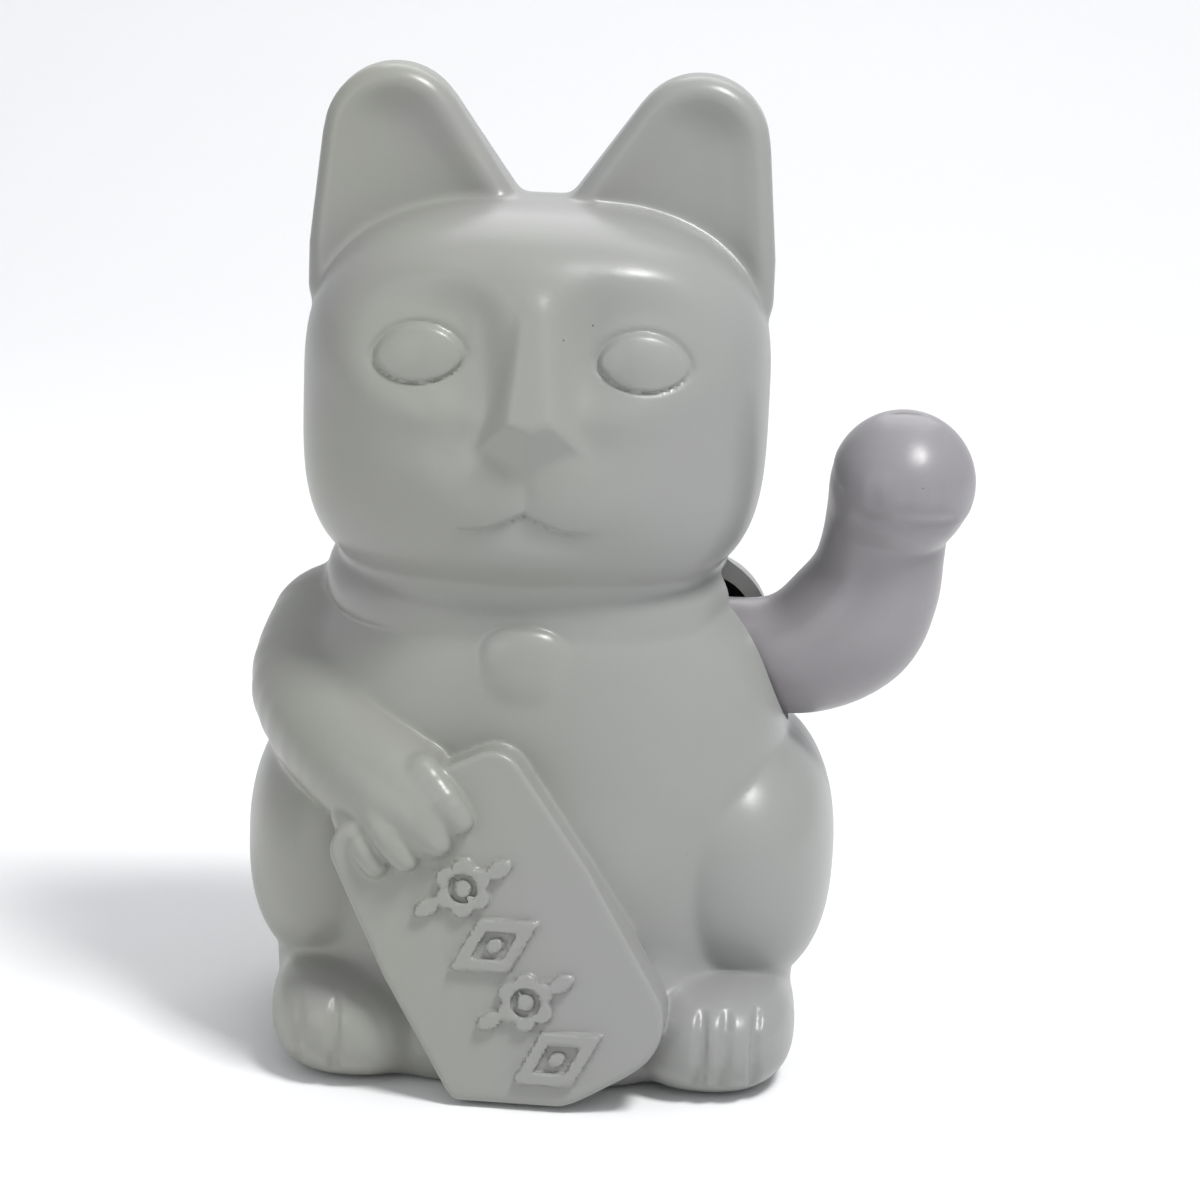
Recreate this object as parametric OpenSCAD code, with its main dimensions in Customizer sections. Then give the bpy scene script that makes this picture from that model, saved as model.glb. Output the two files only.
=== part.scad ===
// Beckoning cat figurine with a swinging arm.
// The cat faces -Y, +Z is up, and the origin is the middle of the face it rests on.
// The raised left arm (+X) is the top of a pendulum that turns on an axle along X.
// A coil under the pendulum's magnet pushes it at each swing, from one AA cell in the base.

/* [Figure] */
// Height from the table to the ear tips
cat_h = 150; // [125:1:190]
// Width of the body across the haunches, without the raised arm
cat_w = 91; // [88:1:115]
// Depth from the coin's foot to the tail
cat_d = 84; // [78:1:105]
// Thickness of the moulded casing
wall = 1.8; // [1.2:0.1:2.6]
// Straight sides round each moulded form
figure_fn = 36; // [24:4:48]

/* [Arm] */
// Height of the axle above the table
pivot_h = 61; // [54:0.5:72]
// Radius of the arm's shoulder, where it passes through the side slot
shoulder_r = 8.8; // [7.5:0.1:9.6]
// Radius of the paw
paw_r = 11.1; // [9:0.1:13]
// Height of the paw's centre above the axle
forearm_l = 29; // [22:0.5:40]
// Thickness of the arm's two shells
arm_wall = 1.6; // [1:0.1:2]
// Gap between the shoulder and the slot's edges
slot_gap = 1.2; // [0.8:0.1:2]

/* [Pendulum] */
// Radius of the steel axle
axle_r = 1.5; // [1:0.1:2]
// Radial running clearance of the axle in its bushes
run_gap = 0.05; // [0.02:0.01:0.1]
// Radius of the drive magnet
magnet_r = 6.5; // [4:0.1:7]
// Thickness of the drive magnet
magnet_t = 4; // [2:0.5:6]
// Radius of the counterweight slug
slug_r = 5.5; // [4:0.1:6]
// Length of the counterweight slug
slug_l = 16; // [10:0.5:22]
// Gap between the magnet's path and the coil
air_gap = 1.4; // [1:0.1:3]

/* [Base] */
// Length of the base plate along X
base_l = 62.4; // [62:0.1:70]
// Width of the base plate along Y
base_w = 50; // [46:0.5:56]
// Corner radius of the base plate
base_corner_r = 18; // [14:0.5:20]
// Thickness of the base plate
plate_t = 2.4; // [2:0.1:3]
// Thickness of the foam pad that the figure rests on
pad_t = 1; // [0.8:0.1:1.6]
// Length of the cell, tip to tip
cell_l = 50.5; // [44:0.5:51]
// Radius of the cell
cell_r = 7.25; // [5:0.05:7.5]
// Thickness of the cell bay's walls
bay_wall = 1.2; // [1:0.1:1.6]
// Thickness of the battery door
door_t = 2; // [1.6:0.1:2.2]

/* [Circuit] */
// Radius of the coil bobbin's flanges
bobbin_r = 10.5; // [8:0.1:11]
// Height of the coil bobbin
bobbin_h = 7; // [5:0.5:9]
// Width of the circuit board along X
board_w = 25; // [23:0.5:26]
// Travel of the switch knob
switch_travel = 2; // [1.5:0.1:2.5]

/* [Hidden] */
$fn = 48;
e = 0.01;                     // overrun that keeps a cut from ending on a face

// The figure is laid out at 91 x 84 x 150 mm and stretched to the sizes asked for.
stretch = [cat_w / 91, cat_d / 84, cat_h / 150];
function fig(p) = [for (i = [0:2]) p[i] * stretch[i]];

// Moulded casing
rim_lift = 0.5;               // the casing's rim stays this far off the table
floor_z = pad_t + plate_t;    // top of the base plate, where the casing's screw lugs end
fit_gap = 0.25;               // gap round the base plate, door and other drop-in pieces
lug_r = 3.4;
screw_r = 1.05;               // shank of a small self-tapping screw
screw_hole_r = 1.1;
screw_head_r = 2;
screw_head_t = 1.4;
peg_r = 1.5;
peg_l = 4;
peg_gap = 0.1;

// Cell bay
bay_gap = 0.35;
contact_t = 0.5;
spring_l = 3.5;
bay_half_l = (cell_l + spring_l + 2 * contact_t) / 2;
bay_half_w = cell_r + bay_gap;
cell_z = pad_t + door_t + bay_gap + cell_r;
bay_top = cell_z + bay_half_w + bay_wall;
cell_x0 = -bay_half_l + contact_t + spring_l;

// Battery door
door_end = bay_half_l - 1.3;  // half length of the opening that the door fills
hinge_r = door_t / 2;
hinge_x = -door_end + 0.2 + hinge_r;
hinge_z = pad_t + door_t / 2;
hinge_pin_r = 0.6;
hinge_pin_l = 0.9;

// Stand
flange_t = 1.8;
deck_z = bay_top + flange_t;  // underside of the circuit board
post_r = 2.6;
post_y = bay_half_w + bay_wall + 2.2;
upright_t = 2.5;
upright_x = board_w / 2 + 2;  // inner face of each upright
bush_r = 3.2;
bush_flange_r = 4.2;
bush_flange_t = 0.8;
stand_screw_x = upright_x + 2.6;

// Circuit board and coil
board_t = 1.6;
board_top = deck_z + board_t;
board_front = -21;
board_back = 13;
coil_top = board_top + bobbin_h;
bobbin_flange_t = 0.8;
bobbin_core_r = 3.5;
coil_r = bobbin_r - 0.7;
board_screw_x = board_w / 2 - 3;
board_screw_y = 11;

// Pendulum: the magnet's lower corners sweep the circle that clears the coil by air_gap
magnet_reach = pivot_h - coil_top - air_gap;
magnet_drop = sqrt(pow(magnet_reach, 2) - pow(magnet_r, 2)); // axle to the magnet's underside
cup_wall = 1.2;
lever_half_w = 2.6;
lever_half_t = 2;
hub_r = 4;
slug_drop = magnet_drop - magnet_t - cup_wall - slug_r - 1.2;

// Raised arm: centre line and radius at each station, from the slot to the paw
slot_half = shoulder_r + slot_gap;
arm_root_x = 26 * stretch[0];
arm_bend_x = 53.5 * stretch[0];
arm_path = [
    [arm_root_x, 0, pivot_h, shoulder_r],
    [36 * stretch[0], 0, pivot_h, shoulder_r],
    [43.5 * stretch[0], 0, pivot_h + 1.4, shoulder_r + 1.2],
    [49.5 * stretch[0], 0, pivot_h + 0.2 * forearm_l, shoulder_r + 2.3],
    [arm_bend_x - 0.8, -0.3, pivot_h + 0.4 * forearm_l, shoulder_r + 1.4],
    [arm_bend_x + 0.3, -0.6, pivot_h + 0.6 * forearm_l, shoulder_r + 0.7],
    [arm_bend_x + 1, -1.5, pivot_h + 0.8 * forearm_l, shoulder_r + 0.8],
    [arm_bend_x + 2.7, -4, pivot_h + forearm_l, paw_r],
];
plug_r = shoulder_r - arm_wall - 0.2;
plug_t = 2.4;
arm_hub_r = 3.2;
arm_hub_x = upright_x + upright_t + 2.6;  // inner end of the arm's hub, clear of the clip
arm_hub_end = arm_root_x + 9;
web_t = 1;                    // ribs in the shoulder that hold the plug between them
web_gap = 0.1;
clip_t = 0.6;
clip_r = 3.4;
axle_x0 = -(upright_x + upright_t + 2.2);

// Switch
switch_y = -17.5;
switch_l = 9;
switch_w = 4.6;
switch_h = 4;
knob_w = 1.8;
wire_r = 0.6;

// ---------- shapes that the figure is built from ----------

function spow(v, p) = sign(v) * pow(abs(v), p);

// Points of a rounded form whose front, back, top and bottom can differ.
// size = [half width, front, back, up, down], round = [plan, top, bottom] exponents.
function egg_points(size, round, rings, sides) = [
    for (i = [0:rings], j = [0:sides - 1])
        let (
            lat = -90 + 180 * i / rings,
            lon = 360 * j / sides,
            m = 2 / (lat > 0 ? round[1] : round[2]),
            n = 2 / round[0],
            ring = spow(cos(lat), m),
            x = size[0] * ring * spow(cos(lon), n),
            y = ring * spow(sin(lon), n) * (sin(lon) < 0 ? size[1] : size[2]),
            z = spow(sin(lat), m) * (lat > 0 ? size[3] : size[4])
        ) [x, y, z]
];
function egg_faces(rings, sides) = [
    for (i = [0:rings - 1], j = [0:sides - 1])
        let (a = i * sides + j, b = i * sides + (j + 1) % sides)
            [a, b, b + sides, a + sides]
];

// A rounded form at a place in the figure, thinned by inset on every side.
module egg(at, size, round = [2.2, 2.2, 2.2], inset = 0, turn = [0, 0, 0], rings = 12) {
    s = [
        size[0] * stretch[0] - inset,
        size[1] * stretch[1] - inset,
        size[2] * stretch[1] - inset,
        size[3] * stretch[2] - inset,
        size[4] * stretch[2] - inset,
    ];
    translate(fig(at))
        rotate(turn)
            hull()
                polyhedron(egg_points(s, round, rings, figure_fn), egg_faces(rings, figure_fn));
}

// Both sides of the figure, about a middle that can sit off the head's.
module both_sides(middle = 0) {
    translate([middle * stretch[0], 0, 0]) {
        children();
        mirror([1, 0, 0]) children();
    }
}

// A limb as a row of hulled balls; each station is [x, y, z, radius] in real sizes.
module limb(path, inset = 0, sides = 24) {
    for (i = [0:len(path) - 2])
        hull()
            for (k = [i, i + 1])
                translate([path[k][0], path[k][1], path[k][2]])
                    sphere(path[k][3] - inset, $fn = sides);
}

// A wire or cord swept along its points.
function unit(v) = v / norm(v);
function tube_points(path, r, sides) = [
    for (i = [0:len(path) - 1])
        let (
            d = unit(path[min(i + 1, len(path) - 1)] - path[max(i - 1, 0)]),
            u = unit(cross(d, abs(d[2]) > 0.9 ? [0, 1, 0] : [0, 0, 1])),
            w = cross(d, u)
        )
            for (j = [0:sides - 1])
                path[i] + r * (cos(360 * j / sides) * u + sin(360 * j / sides) * w)
];
module tube(path, r, sides = 8) {
    last = len(path) * sides;
    faces = concat(
        [[for (j = [0:sides - 1]) j]],
        [[for (j = [sides - 1:-1:0]) last - sides + j]],
        [
            for (i = [0:len(path) - 2], j = [0:sides - 1])
                let (a = i * sides + j, b = i * sides + (j + 1) % sides)
                    [a, a + sides, b + sides, b]
        ]
    );
    polyhedron(tube_points(path, r, sides), faces);
}

// Points eased through a short route, so that a lead bends without corners.
function ease(p, steps) = [
    for (i = [0:len(p) - 2], s = [0:steps - (i == len(p) - 2 ? 0 : 1)])
        let (
            t = s / steps,
            a = p[max(i - 1, 0)], b = p[i], c = p[i + 1], d = p[min(i + 2, len(p) - 1)]
        )
            0.5 * (2 * b + (c - a) * t + (2 * a - 5 * b + 4 * c - d) * t * t
                + (3 * b - a - 3 * c + d) * t * t * t)
];

module rounded_slab(l, w, r, t) {
    linear_extrude(t)
        hull()
            for (x = [-1, 1], y = [-1, 1])
                translate([x * (l / 2 - r), y * (w / 2 - r)])
                    circle(r, $fn = 32);
}

// ---------- the cat's outer form ----------

// Places and half sizes in millimetres, before the figure is stretched.
// A form's sizes are [half width, front, back, up, down].
seat_x = 3;                   // the haunches and feet sit this far towards the raised arm
head_at = [0, -2, 104.5];
head_size = [35.3, 30, 29, 26.5, 31];
head_round = [2.7, 2.6, 3.8];
neck_at = [0, -1, 75];
neck_size = [29.5, 25.5, 24.5, 11, 11];
torso_at = [1.6, 1, 40];
torso_size = [39.8, 31.5, 31, 44, 46];
torso_round = [2.5, 2.3, 6];
belly_at = [0, -8, 30];
belly_size = [27, 26.6, 10, 24, 27];
haunch_at = [30.2, 2, 31];
haunch_size = [15.6, 29, 30, 22, 21];
foot_at = [28.3, -20, 6.5];
foot_size = [13.8, 18.5, 32, 9.4, 8];
lap_at = [2, -14, 11];
lap_size = [30, 22.5, 20, 15, 15];
coin_at = [-1.7, -37.2, 24.6];
coin_half = [15.9, 28];
coin_t = 5;
coin_turn = [-6.5, -31, 0];
holding_arm = [
    [-29, 1, 60, 12.2],
    [-31.8, -8, 54.5, 10.3],
    [-25.5, -22, 49, 9.2],
    [-18, -29.5, 45, 8.8],
    [-13, -33.4, 42.5, 7.4],
];
tail_path = [
    [-14, 24, 10, 8],
    [-2, 31, 9.5, 8.4],
    [10, 33.4, 12.5, 7.8],
    [17, 33.8, 21, 6.8],
    [17.5, 33.2, 31, 5.4],
];

module head(inset = 0) {
    egg(head_at, head_size, head_round, inset, rings = 16);
}
module torso(inset = 0) {
    egg(torso_at, torso_size, torso_round, inset, rings = 16);
}
module neck(inset = 0) {
    egg(neck_at, neck_size, [2.4, 3, 3], inset, rings = 8);
}
module belly(inset = 0) {
    egg(belly_at, belly_size, [2.3, 2.3, 3], inset);
}
module haunches(inset = 0) {
    both_sides(seat_x)
        egg(haunch_at, haunch_size, [2.3, 2.2, 2.4], inset);
}
module feet(inset = 0) {
    both_sides(seat_x)
        egg(foot_at, foot_size, [2.3, 2.4, 2.8], inset);
    egg(lap_at, lap_size, [2.4, 2.2, 3], inset);
}
module stretched_limb(path, inset = 0) {
    limb([for (p = path) [p[0] * stretch[0], p[1] * stretch[1], p[2] * stretch[2],
                          p[3] * min(stretch)]], inset, 20);
}
module rear_shoulder(inset = 0) {
    egg([27, 13, 60], [10.5, 11, 12, 13, 14], inset = inset, rings = 8);
}

module ear_form(grow, forward, thin) {
    tip = [22.5, 3, 139.6, 10.4, 4.8];
    outer_base = [31, 3, 118, 4.4, 8];
    inner_base = [5.9, 3, 127.8, 4, 7];
    hull()
        for (b = [tip, outer_base, inner_base])
            translate(fig([b[0], b[1] - forward, b[2]]))
                scale([(b[3] + grow) * stretch[0], (b[4] + thin) * stretch[1],
                       (b[3] + grow) * stretch[2]])
                    sphere(1, $fn = 24);
}
// Each ear is cupped at the front and keeps a rim round the cup.
module ears() {
    rim = 1.9;
    both_sides()
        difference() {
            ear_form(0, 0, 0);
            ear_form(-rim, 5.4, -0.8);
        }
}

module face() {
    both_sides()
        egg([16.6, -28.6, 111.3], [7.1, 2.6, 3, 4.6, 4.6], rings = 8);      // eye
    egg([0, -30, 102], [4.2, 5.4, 6, 14, 3.5], rings = 8);                   // bridge of the nose
    egg([0, -31.6, 100.4], [6.8, 4.6, 5, 3.8, 3.8], [2, 2.4, 1.8], rings = 8); // nose
    both_sides()
        egg([7.5, -27, 88.5], [11.5, 5.6, 5, 9, 9.5], rings = 8);            // cheek
}

module collar() {
    egg([0, -1, 73.6], [32.6, 28.6, 27, 6, 5], [2.5, 3, 3], turn = [6, 0, 0], rings = 8);
    egg([0, -25.4, 64], [7, 4, 4, 6.6, 6.6], rings = 8);                     // bell
}

// The oblong coin in the paw: a rounded slab with a row of raised ornaments.
module coin() {
    r_top = 5;
    r_foot = 9.5;
    translate(fig(coin_at))
        rotate(coin_turn)
            rotate([90, 0, 0]) {
                translate([0, 0, -coin_t / 2])
                    linear_extrude(coin_t)
                        scale([stretch[0], stretch[2]])
                            hull()
                                for (side = [-1, 1]) {
                                    translate([side * (coin_half[0] - 0.8 - r_top), coin_half[1] - r_top])
                                        circle(r_top, $fn = 24);
                                    translate([side * (coin_half[0] - r_foot), r_foot - coin_half[1]])
                                        circle(r_foot, $fn = 32);
                                }
                for (i = [0:3])
                    translate([0, (8 - 9.6 * i) * stretch[2], coin_t / 2 - 1])
                        cylinder(h = 1.8, r = 3.9, $fn = i % 2 == 0 ? 20 : 4);
            }
}
module fingers() {
    tips = [[-9, 49.5, -5, 44.4], [-12.6, 46.7, -9, 41.2],
            [-16.6, 43.8, -13.4, 38.4], [-21, 40.6, -18.2, 35.6]];
    for (t = tips)
        hull() {
            translate(fig([t[0], -37.2, t[1]])) sphere(3, $fn = 16);
            translate(fig([t[2], -39.4, t[3]])) sphere(2.5, $fn = 16);
        }
}

module cat_outside() {
    head();
    neck();
    torso();
    belly();
    haunches();
    feet();
    rear_shoulder();
    ears();
    face();
    collar();
    coin();
    fingers();
    stretched_limb(ease(holding_arm, 2));
    stretched_limb(ease(tail_path, 3));
}
module cat_inside() {
    head(wall);
    neck(wall);
    torso(wall);
    belly(wall);
    haunches(wall);
    feet(wall);
    rear_shoulder(wall);
    stretched_limb([for (i = [0:2]) holding_arm[i]], wall);
}

// ---------- the two casing halves ----------

base_screw_at = [for (x = [-1, 1], y = [-1, 1]) [x * 22, y * 16.5]];
peg_at = [
    [-30.5 * stretch[0], 103 * stretch[2]],
    [30.5 * stretch[0], 103 * stretch[2]],
    [(seat_x - 40) * stretch[0], 30 * stretch[2]],
    [(seat_x + 40) * stretch[0], 30 * stretch[2]],
];

// Lugs that run out from a screw or a peg to the casing wall.
module lugs() {
    intersection() {
        union() {
            head(wall / 2);
            torso(wall / 2);
            haunches(wall / 2);
            feet(wall / 2);
        }
        union() {
            for (p = base_screw_at)
                hull()
                    for (out = [0, 24])
                        translate([p[0], p[1] + sign(p[1]) * out, floor_z])
                            cylinder(h = 9, r = lug_r, $fn = 24);
            for (p = peg_at)
                hull()
                    for (out = [0, 14])
                        translate([p[0] + sign(p[0]) * out, 0, p[1]])
                            rotate([90, 0, 0])
                                cylinder(h = 2 * (peg_l + 1), r = peg_r + 1.6, center = true, $fn = 24);
        }
    }
}

module side_slot() {
    top = 76 * stretch[2];
    translate([arm_root_x - 3, -slot_half, pivot_h - slot_half])
        cube([30, 2 * slot_half, top - pivot_h + slot_half]);
}

module casing() {
    difference() {
        union() {
            difference() {
                cat_outside();
                intersection() {
                    cat_inside();
                    translate([-100, -100, floor_z]) cube([200, 200, 300]);
                }
            }
            lugs();
        }
        side_slot();
        translate([0, 0, -50 + rim_lift]) cube([300, 300, 100], center = true);
        rounded_slab(base_l + 2 * fit_gap, base_w + 2 * fit_gap, base_corner_r, floor_z);
        for (p = base_screw_at)
            translate([p[0], p[1], floor_z - e])
                cylinder(h = 8, r = screw_hole_r, $fn = 16);
    }
}

module front_shell() {
    color("gainsboro")
        union()
            difference() {
                intersection() {
                    casing();
                    translate([-150, -300, 0]) cube([300, 300, 400]);
                }
                for (p = peg_at)
                    translate([p[0], e, p[1]])
                        rotate([90, 0, 0])
                            cylinder(h = peg_l + peg_gap, r = peg_r + peg_gap, $fn = 20);
            }
}
module rear_shell() {
    color("gainsboro")
        union() {
            intersection() {
                casing();
                translate([-150, 0, 0]) cube([300, 300, 400]);
            }
            for (p = peg_at)
                translate([p[0], 1, p[1]])
                    rotate([90, 0, 0])
                        cylinder(h = peg_l + 1, r = peg_r, $fn = 20);
        }
}

// ---------- base ----------

module base_plate() {
    color("whitesmoke")
        difference() {
            union() {
                translate([0, 0, pad_t])
                    plain_slab(base_l, base_w, base_corner_r, plate_t);
                translate([-bay_half_l - bay_wall, -bay_half_w - bay_wall, pad_t + e])
                    cube([2 * (bay_half_l + bay_wall), 2 * (bay_half_w + bay_wall), bay_top - pad_t - e]);
                for (x = [-1, 1], y = [-1, 1])
                    translate([x * stand_screw_x, y * post_y, pad_t + e])
                        cylinder(h = bay_top - pad_t - e, r = post_r);
            }
            // the bay, and the opening that the door closes
            translate([-bay_half_l, -bay_half_w, floor_z])
                cube([2 * bay_half_l, 2 * bay_half_w, bay_top - bay_wall - floor_z]);
            translate([-door_end, -bay_half_w, pad_t - 1])
                cube([2 * door_end, 2 * bay_half_w, plate_t + 2]);
            // blind holes for the door's hinge pins
            translate([hinge_x, 0, hinge_z])
                rotate([90, 0, 0])
                    cylinder(h = 2 * (bay_half_w + hinge_pin_l), r = hinge_pin_r + 0.1, center = true);
            // slits for the contacts' solder tabs
            for (x = [-1, 1])
                translate([x * (bay_half_l - contact_t / 2) - 0.45, -1.8, bay_top - bay_wall - 1])
                    cube([0.9, 3.6, bay_wall + 2]);
            for (x = [-1, 1], y = [-1, 1])
                translate([x * stand_screw_x, y * post_y, bay_top - 8])
                    cylinder(h = 9, r = screw_hole_r);
            for (p = base_screw_at)
                translate([p[0], p[1], 0]) {
                    cylinder(h = 9, r = screw_r + 0.25);
                    cylinder(h = pad_t + screw_head_t, r = screw_head_r + 0.3);
                }
            // slot for the switch's stem
            translate([0, switch_y, pad_t + plate_t / 2])
                cube([knob_w + switch_travel + 1, knob_w + 0.6, plate_t + 2], center = true);
        }
}

// A rounded rectangle as exact boxes and cylinders.
module plain_slab(l, w, r, t) {
    union() {
        translate([-l / 2 + r, -w / 2, 0]) cube([l - 2 * r, w, t]);
        translate([-l / 2, -w / 2 + r, 0]) cube([l, w - 2 * r, t]);
        for (x = [-1, 1], y = [-1, 1])
            translate([x * (l / 2 - r), y * (w / 2 - r), 0])
                cylinder(h = t, r = r);
    }
}

// Foam ring that the figure stands on. It leaves the door, the switch and the screws open.
module base_pad() {
    edge = 0.8;
    color("dimgray")
        difference() {
            plain_slab(base_l - 2 * edge, base_w - 2 * edge, base_corner_r - edge, pad_t);
            translate([-door_end - 1.8, -bay_half_w - 1.4, -1])
                cube([2 * (door_end + 1.8), 2 * (bay_half_w + 1.4), pad_t + 2]);
            for (p = base_screw_at)
                translate([p[0], p[1], -1]) cylinder(h = pad_t + 2, r = screw_head_r + 0.6);
            translate([0, switch_y, 0])
                cube([switch_l - 1, switch_w, 3 * pad_t], center = true);
        }
}

// A pan-headed screw that points up, with its head's underside at z = 0.
module screw(l) {
    translate([0, 0, -screw_head_t])
        difference() {
            cylinder(h = screw_head_t, r = screw_head_r);
            for (a = [0, 90])
                rotate(a) translate([-1.3, -0.25, -e]) cube([2.6, 0.5, 0.7]);
        }
    translate([0, 0, -e]) cylinder(h = l, r = screw_r);
}
module base_screws() {
    color("silver")
        for (p = base_screw_at)
            translate([p[0], p[1], pad_t + screw_head_t]) screw(7.5);
}

module battery_door() {
    half_w = bay_half_w - fit_gap;
    color("whitesmoke")
        difference() {
            union() {
                translate([hinge_x, -half_w, pad_t])
                    cube([door_end - fit_gap - hinge_x, 2 * half_w, door_t]);
                translate([hinge_x, 0, hinge_z])
                    rotate([90, 0, 0]) {
                        cylinder(h = 2 * half_w, r = hinge_r, center = true);
                        cylinder(h = 2 * (bay_half_w + hinge_pin_l - 0.2), r = hinge_pin_r, center = true);
                    }
            }
            // thumb recess at the latch end
            translate([door_end - 4, 0, pad_t - 5.2]) sphere(6);
        }
}

// ---------- power ----------

module battery_cell() {
    nub_r = 2.7;
    nub_l = 1.4;
    color("goldenrod")
        translate([cell_x0, 0, cell_z])
            rotate([0, 90, 0])
                difference() {
                    union() {
                        cylinder(h = cell_l - nub_l, r = cell_r);
                        cylinder(h = cell_l, r = nub_r);
                    }
                    translate([0, 0, cell_l * 0.78])
                        difference() {
                            cylinder(h = 0.4, r = cell_r + 1);
                            translate([0, 0, -1]) cylinder(h = 3, r = cell_r - 0.15);
                        }
                }
}
module contact_spring() {
    wire = 0.3;
    turns = 3.2;
    steps = 48;
    x0 = -bay_half_l + contact_t + wire;
    coil = [
        for (i = [0:steps])
            let (t = i / steps, r = 3.4 - 1.2 * t, a = 360 * turns * t)
                [x0 + (spring_l - 2 * wire) * t, r * cos(a), cell_z + r * sin(a)]
    ];
    color("silver") tube(coil, wire - 0.02, 6);
}
module contact_plate(side) {
    h = bay_top - bay_wall - floor_z - 1;
    x = side > 0 ? bay_half_l - contact_t : -bay_half_l;
    color("silver")
        union() {
            translate([x, -bay_half_w + 1, floor_z + 0.6])
                cube([contact_t, 2 * bay_half_w - 2, h]);
            translate([x, -1.4, floor_z + h])
                cube([contact_t, 2.8, bay_top + 1.8 - floor_z - h]);
        }
}

// ---------- stand, bushes and circuit ----------

module pivot_stand() {
    flange_l = 2 * (stand_screw_x + post_r);
    flange_w = 2 * (post_y + post_r);
    foot_half = 7;
    head_r = 5.4;
    color("whitesmoke")
        difference() {
            union() {
                translate([-flange_l / 2, -flange_w / 2, bay_top]) cube([flange_l, flange_w, flange_t]);
                for (side = [-1, 1])
                    translate([side * (upright_x + upright_t / 2), 0, 0])
                        rotate([90, 0, 90])
                            linear_extrude(upright_t, center = true) {
                                polygon([
                                    [-foot_half, deck_z - e], [foot_half, deck_z - e],
                                    [head_r, pivot_h], [-head_r, pivot_h],
                                ]);
                                translate([0, pivot_h]) circle(head_r);
                            }
            }
            translate([0, 0, pivot_h])
                rotate([0, 90, 0])
                    cylinder(h = 4 * upright_x, r = bush_r, center = true);
            for (x = [-1, 1], y = [-1, 1])
                translate([x * stand_screw_x, y * post_y, 0])
                    cylinder(h = deck_z + 5, r = screw_r + 0.25);
            for (s = [-1, 1])
                translate([s * board_screw_x, s * board_screw_y, bay_top - e])
                    cylinder(h = flange_t + 5, r = screw_hole_r);
            // window under the coil
            translate([0, 0, bay_top - 1]) cylinder(h = flange_t + 2, r = 5);
        }
}
module stand_screws() {
    color("silver")
        for (x = [-1, 1], y = [-1, 1])
            translate([x * stand_screw_x, y * post_y, deck_z])
                rotate([180, 0, 0]) screw(7.5);
}
module bush() {
    translate([upright_x, 0, pivot_h])
        rotate([0, 90, 0])
            difference() {
                union() {
                    translate([0, 0, -bush_flange_t]) cylinder(h = upright_t + bush_flange_t, r = bush_r);
                    translate([0, 0, -bush_flange_t]) cylinder(h = bush_flange_t, r = bush_flange_r);
                }
                translate([0, 0, -5]) cylinder(h = 20, r = axle_r + run_gap);
            }
}
module bush_right() { color("goldenrod") bush(); }
module bush_left() { color("goldenrod") mirror([1, 0, 0]) bush(); }

module circuit_board() {
    color("darkgreen")
        difference() {
            translate([-board_w / 2, board_front, deck_z])
                cube([board_w, board_back - board_front, board_t]);
            for (s = [-1, 1])
                translate([s * board_screw_x, s * board_screw_y, deck_z - 1])
                    cylinder(h = board_t + 2, r = screw_r + 0.2);
        }
}
module board_screws() {
    color("silver")
        for (s = [-1, 1])
            translate([s * board_screw_x, s * board_screw_y, board_top])
                rotate([180, 0, 0]) screw(board_t + flange_t - 0.4);
}
module coil_bobbin() {
    color("ivory")
        translate([0, 0, board_top])
            difference() {
                union() {
                    cylinder(h = bobbin_flange_t, r = bobbin_r);
                    cylinder(h = bobbin_h, r = bobbin_core_r);
                    translate([0, 0, bobbin_h - bobbin_flange_t])
                        cylinder(h = bobbin_flange_t, r = bobbin_r);
                }
                translate([0, 0, -1]) cylinder(h = bobbin_h + 2, r = bobbin_core_r - 1.2);
            }
}
module drive_coil() {
    color("peru")
        translate([0, 0, board_top + bobbin_flange_t])
            difference() {
                cylinder(h = bobbin_h - 2 * bobbin_flange_t, r = coil_r);
                translate([0, 0, -1]) cylinder(h = bobbin_h, r = bobbin_core_r);
            }
}
module transistor() {
    color("dimgray")
        translate([-7.5, board_front + 4, board_top]) {
            intersection() {
                translate([0, 0, 1.6]) cylinder(h = 4.5, r = 2.3);
                translate([-3, -1.4, 0]) cube([6, 5, 8]);
            }
            for (x = [-1.1, 0, 1.1])
                translate([x, 0, 0]) cylinder(h = 1.8, r = 0.25);
        }
}
module capacitor() {
    color("royalblue")
        translate([-1, board_front + 4.2, board_top])
            difference() {
                cylinder(h = 6.5, r = 2.5);
                translate([0, 0, 5.6])
                    difference() {
                        cylinder(h = 0.4, r = 4);
                        translate([0, 0, -1]) cylinder(h = 3, r = 2.3);
                    }
            }
}
module resistors() {
    color("burlywood")
        for (y = [2.6, 5.8])
            translate([6.5, board_front + y, board_top + 0.9])
                rotate([0, 90, 0]) {
                    cylinder(h = 4.6, r = 0.8, center = true);
                    cylinder(h = 7.4, r = 0.25, center = true);
                }
}

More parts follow.
